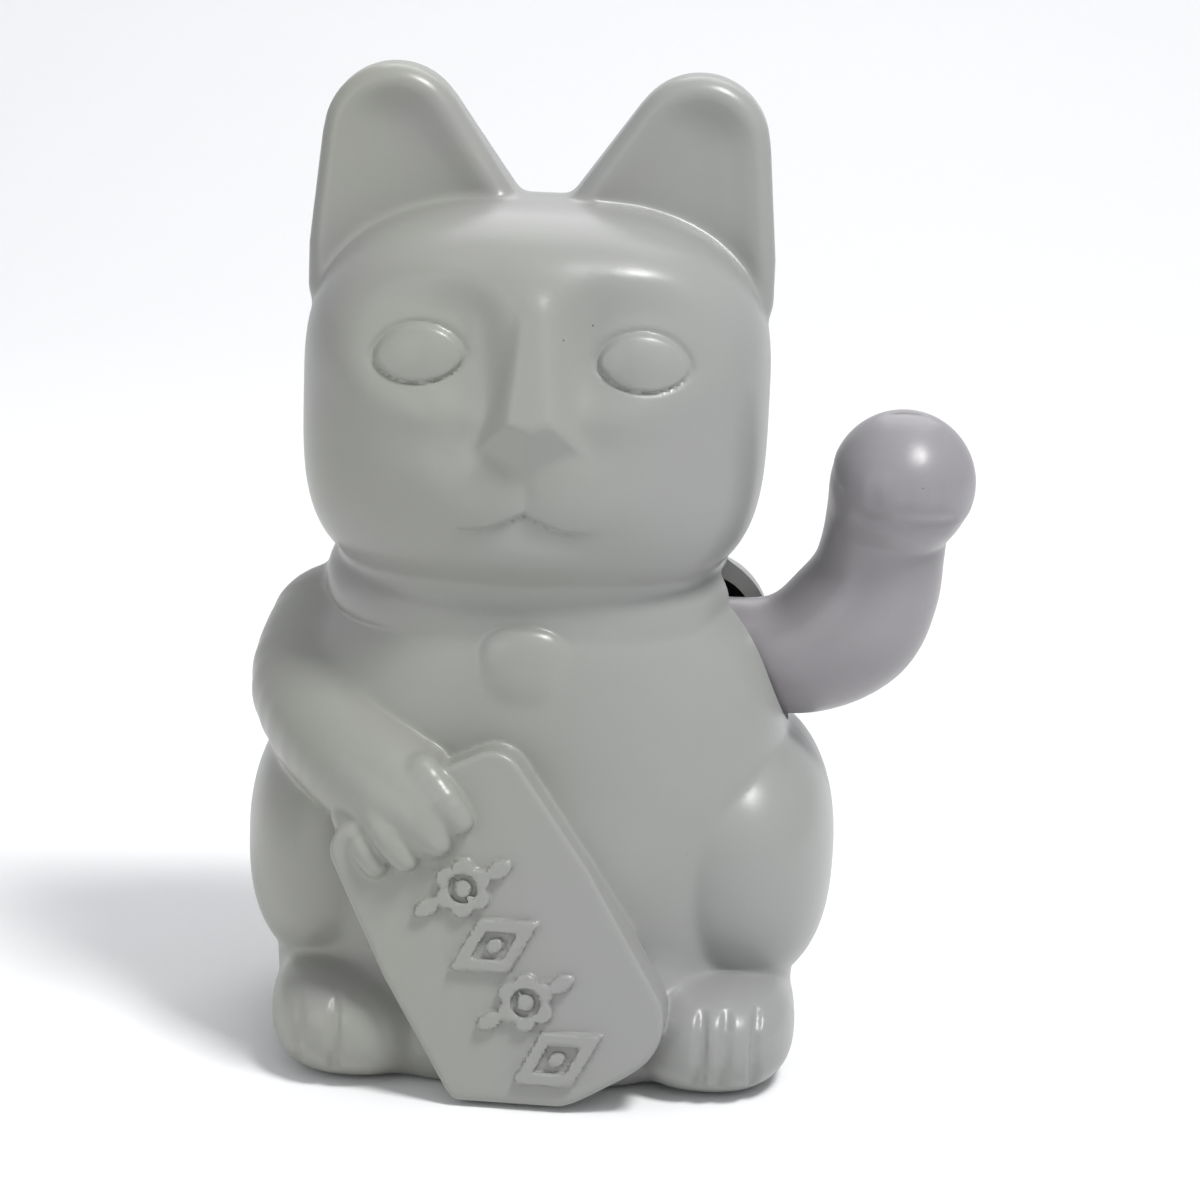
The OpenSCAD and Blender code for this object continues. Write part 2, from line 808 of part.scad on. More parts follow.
// Leads run round the stand, clear of the swinging magnet.
lead_end_z = board_top + wire_r;
function lead_route(side) = ease([
    [side * (bay_half_l + wire_r), -1, bay_top + 1.2],
    [side * (bay_half_l - 0.6), -7, bay_top + 3.6],
    [side * (stand_screw_x + 3.8), -14.5, bay_top + 5],
    [side * (stand_screw_x - 2.4), -18, bay_top + 5.4],
    [side * (board_w / 2 - 2), board_front + 1.6, lead_end_z + 0.1],
], 5);
module red_lead() { color("red") tube(lead_route(1), wire_r); }
module black_lead() { color("black") tube(lead_route(-1), wire_r); }
module switch_lead() {
    top = floor_z + switch_h;
    color("orangered")
        tube(concat([[2.6, switch_y, top + 0.05]], ease([
            [2.6, switch_y, top + 0.8],
            [2.6, switch_y - 0.4, top + 2],
            [3.2, board_front - 2.2, deck_z - 6],
            [3.4, board_front - 1.8, deck_z + 1.5],
            [3, board_front + 1.2, lead_end_z + 0.1],
        ], 5)), wire_r);
}

// ---------- switch ----------

module switch_body() {
    color("silver")
        translate([0, switch_y, floor_z])
            difference() {
                translate([-switch_l / 2, -switch_w / 2, 0]) cube([switch_l, switch_w, switch_h]);
                translate([-switch_l / 2 + 0.8, -switch_w / 2 + 0.8, -1])
                    cube([switch_l - 1.6, switch_w - 1.6, switch_h]);
            }
}
module switch_slider() {
    x = -switch_travel / 2;
    block_l = switch_l - 1.6 - switch_travel - 0.4;
    color("dimgray")
        translate([x, switch_y, 0])
            union() {
                translate([-block_l / 2, -switch_w / 2 + 1, floor_z + 0.2])
                    cube([block_l, switch_w - 2, switch_h - 1.6]);
                translate([-knob_w / 2, -knob_w / 2, pad_t - 0.6])
                    cube([knob_w, knob_w, plate_t + 1.2]);
            }
}

// ---------- swinging arm and pendulum ----------

module arm_shell(front) {
    reach = 60;
    intersection() {
        union() {
            difference() {
                limb(arm_path, 0, 32);
                limb(arm_path, arm_wall, 32);
            }
            for (x = [0, web_t + plug_t + 2 * web_gap])
                translate([arm_root_x + x, 0, pivot_h])
                    rotate([0, 90, 0])
                        difference() {
                            cylinder(h = web_t, r = shoulder_r - arm_wall / 2, $fn = 32);
                            translate([0, 0, -1]) cylinder(h = web_t + 2, r = arm_hub_r + 0.3, $fn = 32);
                        }
        }
        translate([arm_root_x, front ? -reach : 0, 0]) cube([2 * reach, reach, 4 * reach]);
    }
}
module arm_front_shell() { color("gainsboro") arm_shell(true); }
module arm_rear_shell() { color("gainsboro") arm_shell(false); }

// Plug that closes the shoulder and clamps it to the axle.
module arm_hub() {
    color("whitesmoke")
        translate([0, 0, pivot_h])
            rotate([0, 90, 0])
                difference() {
                    union() {
                        translate([0, 0, arm_hub_x]) cylinder(h = arm_hub_end - arm_hub_x, r = arm_hub_r);
                        translate([0, 0, arm_root_x + web_t + web_gap]) cylinder(h = plug_t, r = plug_r);
                    }
                    translate([0, 0, arm_hub_x - 1])
                        cylinder(h = arm_hub_end - arm_hub_x - 1, r = axle_r);
                    translate([0, 0, arm_hub_x + 2])
                        rotate([0, -90, 0]) cylinder(h = 8, r = 1);
                }
}
module hub_screw() {
    color("silver")
        translate([arm_hub_x + 2, 0, pivot_h])
            difference() {
                translate([0, 0, axle_r + 0.02]) cylinder(h = arm_hub_r - axle_r + 0.8, r = 0.95);
                translate([-1, -0.2, arm_hub_r + 0.3]) cube([2, 0.4, 2]);
            }
}
module pivot_axle() {
    color("silver")
        translate([axle_x0, 0, pivot_h])
            rotate([0, 90, 0])
                cylinder(h = arm_hub_end - 2.1 - axle_x0, r = axle_r);
}
module axle_clips() {
    gap = 0.2;
    color("silver")
        for (x = [-(upright_x + upright_t + gap + clip_t), upright_x + upright_t + gap])
            translate([x, 0, pivot_h])
                rotate([0, 90, 0])
                    difference() {
                        cylinder(h = clip_t, r = clip_r);
                        translate([0, 0, -1]) cylinder(h = 3, r = axle_r);
                        translate([0, -0.7, -1]) cube([6, 1.4, 3]);
                    }
}
module pendulum_lever() {
    cup_top = pivot_h - magnet_drop + magnet_t + cup_wall;
    color("whitesmoke")
        difference() {
            union() {
                translate([0, 0, pivot_h])
                    rotate([0, 90, 0])
                        cylinder(h = 3 * lever_half_w, r = hub_r, center = true);
                translate([-lever_half_w, -lever_half_t, cup_top - 0.5])
                    cube([2 * lever_half_w, 2 * lever_half_t, pivot_h - cup_top]);
                translate([0, 0, pivot_h - slug_drop])
                    rotate([0, 90, 0])
                        cylinder(h = 2 * lever_half_w, r = slug_r + cup_wall, center = true);
                translate([0, 0, pivot_h - magnet_drop + 0.8])
                    cylinder(h = magnet_t + cup_wall - 0.8, r = magnet_r + cup_wall);
            }
            translate([0, 0, pivot_h])
                rotate([0, 90, 0])
                    cylinder(h = 40, r = axle_r, center = true);
            translate([0, 0, pivot_h - slug_drop])
                rotate([0, 90, 0])
                    cylinder(h = 40, r = slug_r, center = true);
            translate([0, 0, pivot_h - magnet_drop - 1])
                cylinder(h = magnet_t + 1, r = magnet_r);
        }
}
module pendulum_magnet() {
    color("dimgray")
        translate([0, 0, pivot_h - magnet_drop]) cylinder(h = magnet_t, r = magnet_r);
}
module counterweight() {
    color("silver")
        translate([0, 0, pivot_h - slug_drop])
            rotate([0, 90, 0]) cylinder(h = slug_l, r = slug_r, center = true);
}

front_shell();
rear_shell();
base_plate();
base_pad();
base_screws();
pivot_stand();
stand_screws();
bush_left();
bush_right();
battery_cell();
contact_spring();
contact_plate(-1);  // contact_plate_minus
contact_plate(1);  // contact_plate_plus
circuit_board();
board_screws();
coil_bobbin();
drive_coil();
transistor();
capacitor();
resistors();
red_lead();
black_lead();
switch_lead();
switch_body();
switch_slider();
battery_door();
arm_front_shell();
arm_rear_shell();
arm_hub();
hub_screw();
pivot_axle();
axle_clips();
pendulum_lever();
pendulum_magnet();
counterweight();
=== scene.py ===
import math

import bmesh
import bpy
import numpy as np
import openvdb
from mathutils import Matrix, Vector


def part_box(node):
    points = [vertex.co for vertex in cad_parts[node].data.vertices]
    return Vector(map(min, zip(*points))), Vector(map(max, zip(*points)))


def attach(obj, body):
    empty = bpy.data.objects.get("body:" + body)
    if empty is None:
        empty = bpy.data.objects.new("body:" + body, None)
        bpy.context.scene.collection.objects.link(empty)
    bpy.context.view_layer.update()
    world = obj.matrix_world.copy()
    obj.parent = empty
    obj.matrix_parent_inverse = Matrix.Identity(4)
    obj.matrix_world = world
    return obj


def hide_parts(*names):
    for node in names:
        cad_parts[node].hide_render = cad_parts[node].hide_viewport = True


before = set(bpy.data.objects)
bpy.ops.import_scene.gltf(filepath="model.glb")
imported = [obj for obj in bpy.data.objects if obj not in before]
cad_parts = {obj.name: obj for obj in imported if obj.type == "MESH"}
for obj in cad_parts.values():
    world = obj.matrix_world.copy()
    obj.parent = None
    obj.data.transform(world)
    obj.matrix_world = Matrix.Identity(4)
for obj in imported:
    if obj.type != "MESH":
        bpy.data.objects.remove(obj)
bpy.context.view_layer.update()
MM = 0.001  # the figure is laid out in millimetres, and Blender works in metres

# ---------------------------------------------------------------------------------------------
# Front and rear casing: the cat itself, two injection-moulded shells of satin ABS that meet in
# the plane through both ears. The figure is first modelled in clay, as one solid of rounded
# forms, then it is hollowed, split at the seam and cut open for the base and the raised arm.
# ---------------------------------------------------------------------------------------------
WALL = 1.8
CLAY_STEP = 0.8  # spacing of the modelling grid
TURN_DEG = 11  # faces that turn more than this from a neighbour are divided again
HOLLOW_STEP = 1.4
FAR = 8.0  # distance given to a point that no form is near
MARGIN = 2.5  # a form is worked this far past its own box
NUDGE = 0.02  # how far aside the slope of the clay is measured
JOINT_SOFT = 0.4  # rounding between two stretches of a limb
SEAT_X = 3.0  # the haunches and feet sit this far towards the raised arm
DRAW_END = -4.0  # depth at which forms drawn back from the front end, inside the body


def soft_min(a, b, soft):
    """The smaller of two distances, with the crease between them rounded over a width of soft."""
    h = np.maximum(soft - np.abs(a - b), 0) / soft
    return np.minimum(a, b) - h * h * h * soft / 6


class Form:
    """A shape given by its distance function, and the box outside which it changes nothing."""

    def __init__(self, distance, low, high):
        self.distance = distance
        self.low = np.array(low, float)
        self.high = np.array(high, float)


class Clay:
    """A solid built up by adding and cutting forms, and by pressing relief into its surface."""

    def __init__(self):
        self.steps = []

    def add(self, form, soft=1.0):
        self.steps.append(("add", form, soft))

    def cut(self, form, soft=1.0):
        self.steps.append(("cut", form, soft))

    def press(self, form):
        """The form's value is how far the surface moves out, so a negative value dents it."""
        self.steps.append(("press", form, 1.0))

    def work(self, d, window, places):
        for kind, form, soft in self.steps:
            margin = soft + MARGIN
            near = window(form.low - margin, form.high + margin)
            x, y, z = places(near)
            value = form.distance(x, y, z)
            if kind == "add":
                d[near] = soft_min(d[near], value, soft)
            elif kind == "cut":
                d[near] = -soft_min(-d[near], value, soft)
            else:
                d[near] = d[near] - value
        return d

    def at(self, p):
        """Distance from the clay's surface at each of a list of points."""

        def window(low, high):
            return np.flatnonzero(np.all((p > low) & (p < high), axis=1))

        def places(near):
            return p[near, 0], p[near, 1], p[near, 2]

        return self.work(np.full(len(p), FAR), window, places)

    def grid(self, axes):
        """Distance at every point of a grid, one form at a time in the form's own box."""

        def window(low, high):
            return tuple(
                slice(*np.searchsorted(axis, (low[i], high[i]))) for i, axis in enumerate(axes)
            )

        def places(near):
            x, y, z = (axis[near[i]] for i, axis in enumerate(axes))
            return x[:, None, None], y[None, :, None], z[None, None, :]

        return self.work(np.full([len(axis) for axis in axes], FAR), window, places)

    def mesh(self, name, low, high, step, refine=False):
        """A closed mesh of the clay in metres, with its points moved onto the true surface."""
        axes = [np.arange(low[i], high[i] + step, step) for i in range(3)]
        cells = openvdb.FloatGrid()
        cells.background = FAR
        cells.copyFromArray(np.clip(self.grid(axes), -FAR, FAR).astype(np.float32))
        points, quads = cells.convertToQuads(isovalue=0.0)
        p = points.astype(float) * step + np.array([axis[0] for axis in axes])
        made = bpy.data.meshes.new(name)
        made.from_pydata((self.settled(p, step) * MM).tolist(), [], quads.tolist())
        made.update()
        if refine:
            divide_bends(made)
            p = np.zeros(len(made.vertices) * 3)
            made.vertices.foreach_get("co", p)
            p = self.settled(p.reshape(-1, 3) / MM, step / 2)
            made.vertices.foreach_set("co", (p * MM).ravel())
            made.update()
        return made

    def settled(self, p, reach):
        """Points moved onto the clay's surface, none further than reach at a time."""
        slope = np.zeros_like(p)
        for _ in range(2):
            d = self.at(p)
            for i in range(3):
                aside = p.copy()
                aside[:, i] += NUDGE
                slope[:, i] = (self.at(aside) - d) / NUDGE
            steep = np.maximum((slope**2).sum(1), 0.25)
            p = p - slope * (np.clip(d, -reach, reach) / steep)[:, None]
        return p


def divide_bends(mesh):
    """Divides the faces on either side of every edge where the surface turns quickly."""
    bm = bmesh.new()
    bm.from_mesh(mesh)
    bends = set()
    for edge in bm.edges:
        if edge.calc_face_angle(0) > math.radians(TURN_DEG):
            for face in edge.link_faces:
                bends.update(face.edges)
    bmesh.ops.subdivide_edges(bm, edges=list(bends), cuts=1, use_grid_fill=True)
    crowded = [face for face in bm.faces if len(face.verts) > 4]
    bmesh.ops.triangulate(bm, faces=crowded)
    bm.to_mesh(mesh)
    bm.free()


def turned(x, y, z, turn):
    """Coordinates in a frame that is turned by three angles, X first, about the origin."""
    if turn is None:
        return x, y, z
    a, b, c = (math.radians(t) for t in turn)
    m = Matrix.Rotation(c, 3, "Z") @ Matrix.Rotation(b, 3, "Y") @ Matrix.Rotation(a, 3, "X")
    return tuple(m[0][i] * x + m[1][i] * y + m[2][i] * z for i in range(3))


def egg(at, size, bulge=(2.2, 2.2, 2.2), inset=0.0, turn=None):
    """A rounded form: size is its half width and its reach to the front, back, up and down.

    Bulge is how square it is in plan, above its middle and below it: 2 is an ellipse.
    """
    side, front, back, up, down = (s - inset for s in size)
    plan, top, foot = bulge

    def distance(x, y, z):
        x, y, z = turned(x - at[0], y - at[1], z - at[2], turn)
        depth = np.where(y < 0, front, back)
        height = np.where(z > 0, up, down)
        m = np.where(z > 0, top, foot)
        u, v, w = np.abs(x) / side, np.abs(y) / depth, np.abs(z) / height
        g = np.maximum((u**plan + v**plan) ** (1 / plan), 1e-6)
        f = np.maximum((g**m + w**m) ** (1 / m), 1e-6)
        across = (u / g) ** (2 * plan - 2) / side**2 + (v / g) ** (2 * plan - 2) / depth**2
        slope = (g / f) ** (2 * m - 2) * across + (w / f) ** (2 * m - 2) / height**2
        return (f - 1) / np.sqrt(np.maximum(slope, 1e-8))

    reach = np.array([side, max(front, back), max(up, down)])
    if turn is not None:
        reach = np.full(3, reach.max())
    return Form(distance, np.array(at) - reach, np.array(at) + reach)


def limb(path, inset=0.0, drawn_back=False):
    """A limb through stations of x, y, z and radius, tapering evenly from each to the next.

    Drawn back, it keeps its full width behind its middle line, as a moulding that has to
    leave its tool does.
    """
    path = np.array(path, float)

    def distance(x, y, z):
        d = None
        for a, b in zip(path[:-1], path[1:]):
            run = b[:3] - a[:3]
            t = ((x - a[0]) * run[0] + (y - a[1]) * run[1] + (z - a[2]) * run[2]) / (run @ run)
            t = np.clip(t, 0, 1)
            middle = a[1] + t * run[1]
            behind = y - middle
            if drawn_back:
                behind = behind - np.clip(behind, 0, np.maximum(DRAW_END - middle, 0))
            off = (x - a[0] - t * run[0]) ** 2 + behind**2 + (z - a[2] - t * run[2]) ** 2
            here = np.sqrt(off) - a[3] - t * (b[3] - a[3]) + inset
            d = here if d is None else soft_min(d, here, JOINT_SOFT)
        return d

    r = path[:, 3:]
    low, high = (path[:, :3] - r).min(0), (path[:, :3] + r).max(0)
    if drawn_back:
        high[1] = max(high[1], DRAW_END)
    return Form(distance, low, high)


def eased(path, steps):
    """A smooth route through a few stations."""
    path = [np.array(p, float) for p in path]
    route = []
    for i in range(len(path) - 1):
        a, b, c, d = path[max(i - 1, 0)], path[i], path[i + 1], path[min(i + 2, len(path) - 1)]
        for s in range(steps):
            t = s / steps
            turn_in = (c - a) * t + (2 * a - 5 * b + 4 * c - d) * t * t
            route.append(0.5 * (2 * b + turn_in + (3 * b - a - 3 * c + d) * t**3))
    return route + [path[-1]]


def round_outline(circles, ways=72):
    """Distance from the outline that a band stretched round a few circles would take."""
    angles = [2 * math.pi * k / ways for k in range(ways)]
    spans = []
    for a in angles:
        cu, cv = math.cos(a), math.sin(a)
        spans.append((cu, cv, max(c[0] * cu + c[1] * cv + c[2] for c in circles)))

    def distance(u, v):
        d = None
        for cu, cv, reach in spans:
            here = u * cu + v * cv - reach
            d = here if d is None else np.maximum(d, here)
        return d

    return distance


def slab(d, w, half, edge):
    """Distance from a plate of half thickness half whose outline is d away, with rounded edges."""
    du, dw = d + edge, np.abs(w) - half + edge
    out = np.sqrt(np.maximum(du, 0) ** 2 + np.maximum(dw, 0) ** 2)
    return out + np.minimum(np.maximum(du, dw), 0) - edge


def bump(x, z, at, reach, power=2.0):
    """A soft hill, 1 at its middle and nearly 0 one and a half reaches away."""
    q = ((x - at[0]) / reach[0]) ** 2 + ((z - at[1]) / reach[1]) ** 2
    return np.exp(-(q ** (power / 2)))


def ramp(v, low, high):
    """0 below low, 1 above high, and an S between them."""
    t = np.clip((v - low) / (high - low), 0, 1)
    return t * t * (3 - 2 * t)


def haunch(side, inset=0.0):
    """Side is -1 where the coin paw is and 1 where the raised arm is."""
    at = (SEAT_X + side * 28.8, 2, 31)
    return egg(at, (17.0, 28.4, 30, 22, 22), (2.3, 2.2, 2.6), inset)


def foot(side, inset=0.0):
    at = (SEAT_X + side * 27.2 + (0.9 if side < 0 else 0), -19.0, 8.2)
    return egg(at, (13.3, 18.6, 32, 8.6, 9.4), (2.4, 2.6, 2.5), inset)


def toe_face(side, x, z):
    """How far forward a foot's face comes at a point."""
    spread = (abs(x - SEAT_X - side * 27.2) / 13.3) ** 2.4 + (abs(z - 8.2) / 9) ** 2.5
    return -19 - 18.6 * max(1 - spread, 0.1) ** (1 / 2.6)


HEAD = ((0, -2, 104.5), (35.3, 30, 29, 26.5, 31.8), (2.7, 2.6, 4.0))
NECK = ((0, -1, 75), (29.5, 25.5, 24.5, 11, 11), (2.4, 3, 3))
TORSO = ((1.6, 1, 40), (39.8, 31.5, 31, 44, 46), (2.5, 2.3, 6))
BELLY = ((0, -8, 30), (27, 26.6, 10, 24, 27), (2.3, 2.3, 3))
LAP = ((2, -14, 11), (30, 22.5, 20, 15, 15), (2.4, 2.2, 3))
REAR_SHOULDER = ((27, 13, 60), (10.5, 11, 12, 13, 14), (2.2, 2.2, 2.2))
HOLDING_ARM = [
    (-29, 1, 60, 12.2),
    (-31.8, -8, 54.5, 10.3),
    (-25.5, -22, 49, 9.2),
    (-18, -29.5, 45, 8.8),
    (-13, -33.4, 42.5, 7.4),
]
TAIL = [
    (-14, 24, 10, 8),
    (-2, 31, 9.5, 8.4),
    (10, 33.4, 12.5, 7.8),
    (17, 33.8, 21, 6.8),
    (17.5, 33.2, 31, 5.4),
]
COIN_AT, COIN_TURN = (-1.7, -37.2, 24.6), (-6.5, -31, 0)

cat = Clay()
cat.add(egg(*TORSO), 1.0)
cat.add(egg(*BELLY), 6.0)
cat.add(egg((0.5, -2, 56), (31, 26.8, 20, 22, 20), (2.4, 3, 2.4)), 3.0)
cat.add(egg(*REAR_SHOULDER), 6.0)
cat.add(egg(*LAP), 3.0)
cat.add(egg((SEAT_X, 2, 13), (40.4, 28, 31, 12, 15), (2.5, 2.4, 2.3)), 2.0)
for side in (-1, 1):
    cat.add(haunch(side), 1.5)
cat.add(limb(eased(TAIL, 4)), 1.6)
cat.add(egg(*NECK), 3.0)


# The ears: flat leaves with a rounded rim, cupped at the front.
def ear_outline(side, rim):
    circles = [
        (side * 23.0, 139.4, 10.6 - rim),
        (side * 27.0, 129.5, 7.6 - rim),
        (side * 30.2, 117, 5 - rim),
        (side * 16.4, 133.2, 8.4 - rim),
        (side * 7.4, 126.0, 5.6 - rim),
    ]
    return round_outline(circles)


def ear(side):
    outline = ear_outline(side, 0)

    def distance(x, y, z):
        half = 5.6 + 2.6 * ramp(z, 146, 120)
        return slab(outline(x, z), y - 1.6, half, 3.2)

    return Form(distance, (min(side * 2, side * 37), -6, 112), (max(side * 2, side * 37), 12, 151))


def ear_dish(side):
    """The hollow of the ear, which deepens inwards from a narrow rim."""
    outline = ear_outline(side, 1.2)

    def depth(x, y, z):
        inwards = np.maximum(-outline(x, z), 0)
        return -2.2 * (1 - np.exp(-((inwards / 5.0) ** 2))) * ramp(y, 2, -0.5)

    return Form(depth, (min(side * 2, side * 37), -8, 112), (max(side * 2, side * 37), 4, 150))


for side in (-1, 1):
    cat.add(ear(side), 2.0)
    cat.press(ear_dish(side))
cat.add(egg(*HEAD), 2.0)
cat.add(egg((0, -10, 88), (28, 20.8, 12, 12, 15), (2.4, 2.6, 2.6)), 2.0)


# The face is low relief on the front of the head.
EYE_X, EYE_Z = 16.4, 110.4


def face_relief(x, y, z):
    a = np.abs(x)
    # sockets under the brow, deepest beside the nose
    q = (np.abs(a - 15.2) / 13.2) ** 2.4 + (np.abs(z - 112.6) / np.where(z > 112.6, 9.8, 10.4)) ** 2.4
    socket = 1 - ramp(q ** (1 / 2.4), 0.42, 1.16)
    beside_nose = bump(a, z, (8.2, 112.5), (4.4, 8.5))
    d = -2.1 * socket * (0.62 + 0.38 * ramp(a, 26, 8)) - 1.5 * beside_nose
    # brow and forehead stand a little proud of the sockets
    d = d + 0.7 * bump(x, z, (0, 125.5), (22, 4.6))
    # cheek bones run from the nose up to the outer corners of the eyes
    ridge_z = 101.6 + 0.26 * np.maximum(a - 6, 0)
    d = d + 0.8 * bump(a, z - ridge_z, (16, 0), (9.5, 3.6))
    d = d - 0.8 * bump(a, z, (9.6, 99.5), (3.2, 5.0))
    # muzzle, in two soft halves, and the chin
    d = d + 1.5 * bump(a, z, (7.2, 91.5), (9.5, 7.6), 2.6)
    d = d - 0.35 * bump(x, z, (0.2, 92.5), (1.1, 3.6))
    d = d + 0.9 * bump(x, z, (0.4, 81.2), (8.0, 3.2), 2.4)
    # the mouth: the upper lip hangs over the lower one
    t = np.minimum(a / 8.6, 1.25)
    mouth_z = 88.5 - 2.75 * np.sin(t * math.pi / 2)
    fade = ramp(a, 11.5, 7.5)
    below = mouth_z - z
    d = d - 0.7 * fade * ramp(below, -0.25, 0.35) * np.exp(-np.maximum(below, 0) / 3.0)
    d = d - 0.3 * fade * np.exp(-((below / 0.42) ** 2))
    # almond eyes: shallow domes with a crisp edge all round
    u = (a - EYE_X) / 6.6
    v = z - EYE_Z + 0.05 * (a - EYE_X)
    v = v / np.where(v > 0, 4.7, 3.5)
    q = u * u + np.abs(v) ** 1.7
    d = d + ramp(q, 1.1, 0.86) * (1.15 - 0.75 * (u * u + v * v))
    d = d - 0.32 * np.exp(-(((np.sqrt(q) - 1.05) / 0.09) ** 2))
    return d * ramp(y, -8, -17)


face = Form(face_relief, (-34, -40, 72), (34, -8, 130))
cat.press(face)


# The nose is a wedge that widens downwards, with a flat bridge and a flat triangle under its tip.
def nose(x, y, z):
    bridge_y = -29.8 - 0.36 * (120 - z)
    width = 1.5 + 0.09 * np.maximum(120 - z, 0)
    flank = (np.abs(x - 0.4) - width - 0.8 * (y - bridge_y)) / 1.28
    front = (bridge_y - y) / 1.05
    under = (97.0 + 0.66 * np.abs(x - 0.2) - 2.2 * (y + 34.3) - z) / 2.5
    brow = z - 121
    d = None
    for plane, soft in ((front, 1), (flank, 1.8), (under, 0.8), (brow, 5)):
        d = plane if d is None else -soft_min(-d, -plane, soft)
    return -soft_min(-d, -(y + 22), 1)


cat.add(Form(nose, (-12, -40, 94), (12, -22, 123)), 1.2)

# Collar and bell
cat.add(egg((0, -1, 71.8), (31.4, 26.0, 26.2, 8.2, 4.8), (2.5, 3, 2.8), turn=(6, 0, 0)), 1.1)
cat.add(egg((0.4, -26.3, 63.4), (7.2, 3.4, 4, 7.0, 7.0), (2.3, 2.6, 2.3)), 0.9)

# Feet, with soft grooves between the toes
for side, toes in ((-1, (-31.6, -25.6)), (1, (29.3, 33.0, 37.6))):
    cat.add(foot(side), 2.4 + 0.8 * (side < 0))
    for x in toes:
        rise = ((3, 0.8), (6, 1.0), (9, 1.0), (12, 0.9), (14.4, 0.6))
        cat.cut(limb([(x, toe_face(side, x, z) - 0.35, z, r) for z, r in rise]), 1.1)


# The coin: an oblong plate that leans on the belly, held under the paw.
coin_corners = [(-11, 21.6, 4.6), (11, 21.4, 5), (-8.6, -18.0, 8.6), (8.8, -17.6, 8.8)]
coin_outline = round_outline([*coin_corners, (0, 12, 14.8)])
ORNAMENT_PITCH = 9.7


def coin_frame(x, y, z):
    """Coordinates across the coin, along it and out of its face."""
    u, w, v = turned(x - COIN_AT[0], y - COIN_AT[1], z - COIN_AT[2], COIN_TURN)
    return u, v, -w


def coin(x, y, z):
    u, v, w = coin_frame(x, y, z)
    back = 6  # the coin's edge runs this far back, into the belly
    plate = slab(coin_outline(u, v), w + back / 2, 2.5 + back / 2, 0.9)
    return -soft_min(-plate, z - 0.7, 2.5)


def blossom(u, v):
    """Six round petals about a button, with a broad leaf on each side."""
    r = np.sqrt(u * u + v * v)
    petal = (np.mod(np.arctan2(v, u) * 3 / math.pi + 0.5, 1) - 0.5) * math.pi / 3
    petals = np.sqrt((r * np.cos(petal) - 2.75) ** 2 + (r * np.sin(petal)) ** 2) - 1.65
    flower = np.maximum(np.minimum(petals, r - 2.9), 0.45 - np.abs(r - 1.75))
    a = np.abs(u) - 6.1
    leaf = np.maximum(np.hypot(a, v - 1.3), np.hypot(a, v + 1.3)) - 2.6
    return np.minimum(flower, leaf)


def lozenge(u, v):
    """A broad lozenge frame with a button in it."""
    q = (np.abs(u) / 7.7 + np.abs(v) / 4.7 - 1) * 4.0
    frame_line = np.abs(q + 0.95) - 0.95
    return np.minimum(frame_line, np.hypot(u * 0.75, v) - 1.0)


def ornaments(x, y, z):
    u, v, w = coin_frame(x, y, z)
    d = None
    for i in range(4):
        shape = lozenge if i % 2 else blossom
        here = shape(u, v - ORNAMENT_PITCH * (1 - i) - 0.1)
        d = here if d is None else np.minimum(d, here)
    return slab(d, w - 2.2, 1.35, 0.3)


cat.add(Form(coin, (-29, -44, 0), (28, -24, 54)), 0.8)
cat.add(Form(ornaments, (-20, -45, 2), (20, -34, 46)), 0.25)

# The arm that holds the coin, its paw and its four fingers
holding_route = eased(HOLDING_ARM, 4)
cat.add(limb(holding_route[:8], drawn_back=True), 3.0)
cat.add(limb(holding_route[6:], drawn_back=True), 1.2)
FINGERS = [
    [(-13.6, -34.8, 49.4), (-10.2, -37.6, 46.2), (-7.6, -38.4, 43.4)],
    [(-17.4, -35.0, 46.6), (-13.8, -38.0, 42.9), (-10.9, -38.9, 39.9)],
    [(-21.0, -34.4, 43.6), (-18.0, -37.6, 40.2), (-15.6, -38.7, 37.2)],
    [(-24.2, -32.0, 41.4), (-21.9, -35.8, 38.4), (-20.0, -37.5, 35.8)],
]
for stations in FINGERS:
    radii = (3.0, 2.7, 2.0)
    cat.add(limb(eased([(*p, r) for p, r in zip(stations, radii)], 3), drawn_back=True), 1.0)


def under(level):
    """Everything below a level, to be cut away."""

    def distance(x, y, z):
        return z - level + 0 * x + 0 * y

    return Form(distance, (-60, -60, -20), (60, 60, level))


RIM_Z = 0.5  # the casing's rim stays this far off the table
cat.cut(under(RIM_Z), 0.8)
cat_solid = cat.mesh("cat_outside", (-48, -46, -3), (52, 44, 153), CLAY_STEP, refine=True)

# The hollow, with solid lugs left standing for the four base screws
FLOOR_Z = 3.4
hollow = Clay()
for shape in (TORSO, BELLY, REAR_SHOULDER, LAP, NECK, HEAD):
    hollow.add(egg(*shape, inset=WALL), 0.6)
for side in (-1, 1):
    hollow.add(haunch(side, WALL), 0.6)
    hollow.add(foot(side, WALL), 0.6)
hollow.add(limb(HOLDING_ARM[:3], WALL), 0.6)
hollow.press(face)
hollow.cut(under(FLOOR_Z - 0.3), 0.3)  # the foot stays solid outside the base opening
LUG_R, SCREW_HOLE_R = 3.4, 1.1
SCREWS_ACROSS, SCREWS_ALONG = 44, 33
SCREW_AT = [(i * SCREWS_ACROSS / 2, j * SCREWS_ALONG / 2) for i in (-1, 1) for j in (-1, 1)]
for x, y in SCREW_AT:
    out = math.copysign(26, y)
    lug = [(x, y, z, LUG_R) for z in (0, 9)] + [(x, y + out, 9, LUG_R), (x, y + out, 0, LUG_R)]
    hollow.cut(limb(lug + [(x, y, 0, LUG_R)]), 0.6)
hollow_solid = hollow.mesh("cat_hollow", (-48, -46, -3), (52, 44, 133), HOLLOW_STEP)


def solid_object(name, mesh):
    made = bpy.data.objects.new(name, mesh)
    bpy.context.scene.collection.objects.link(made)
    return made


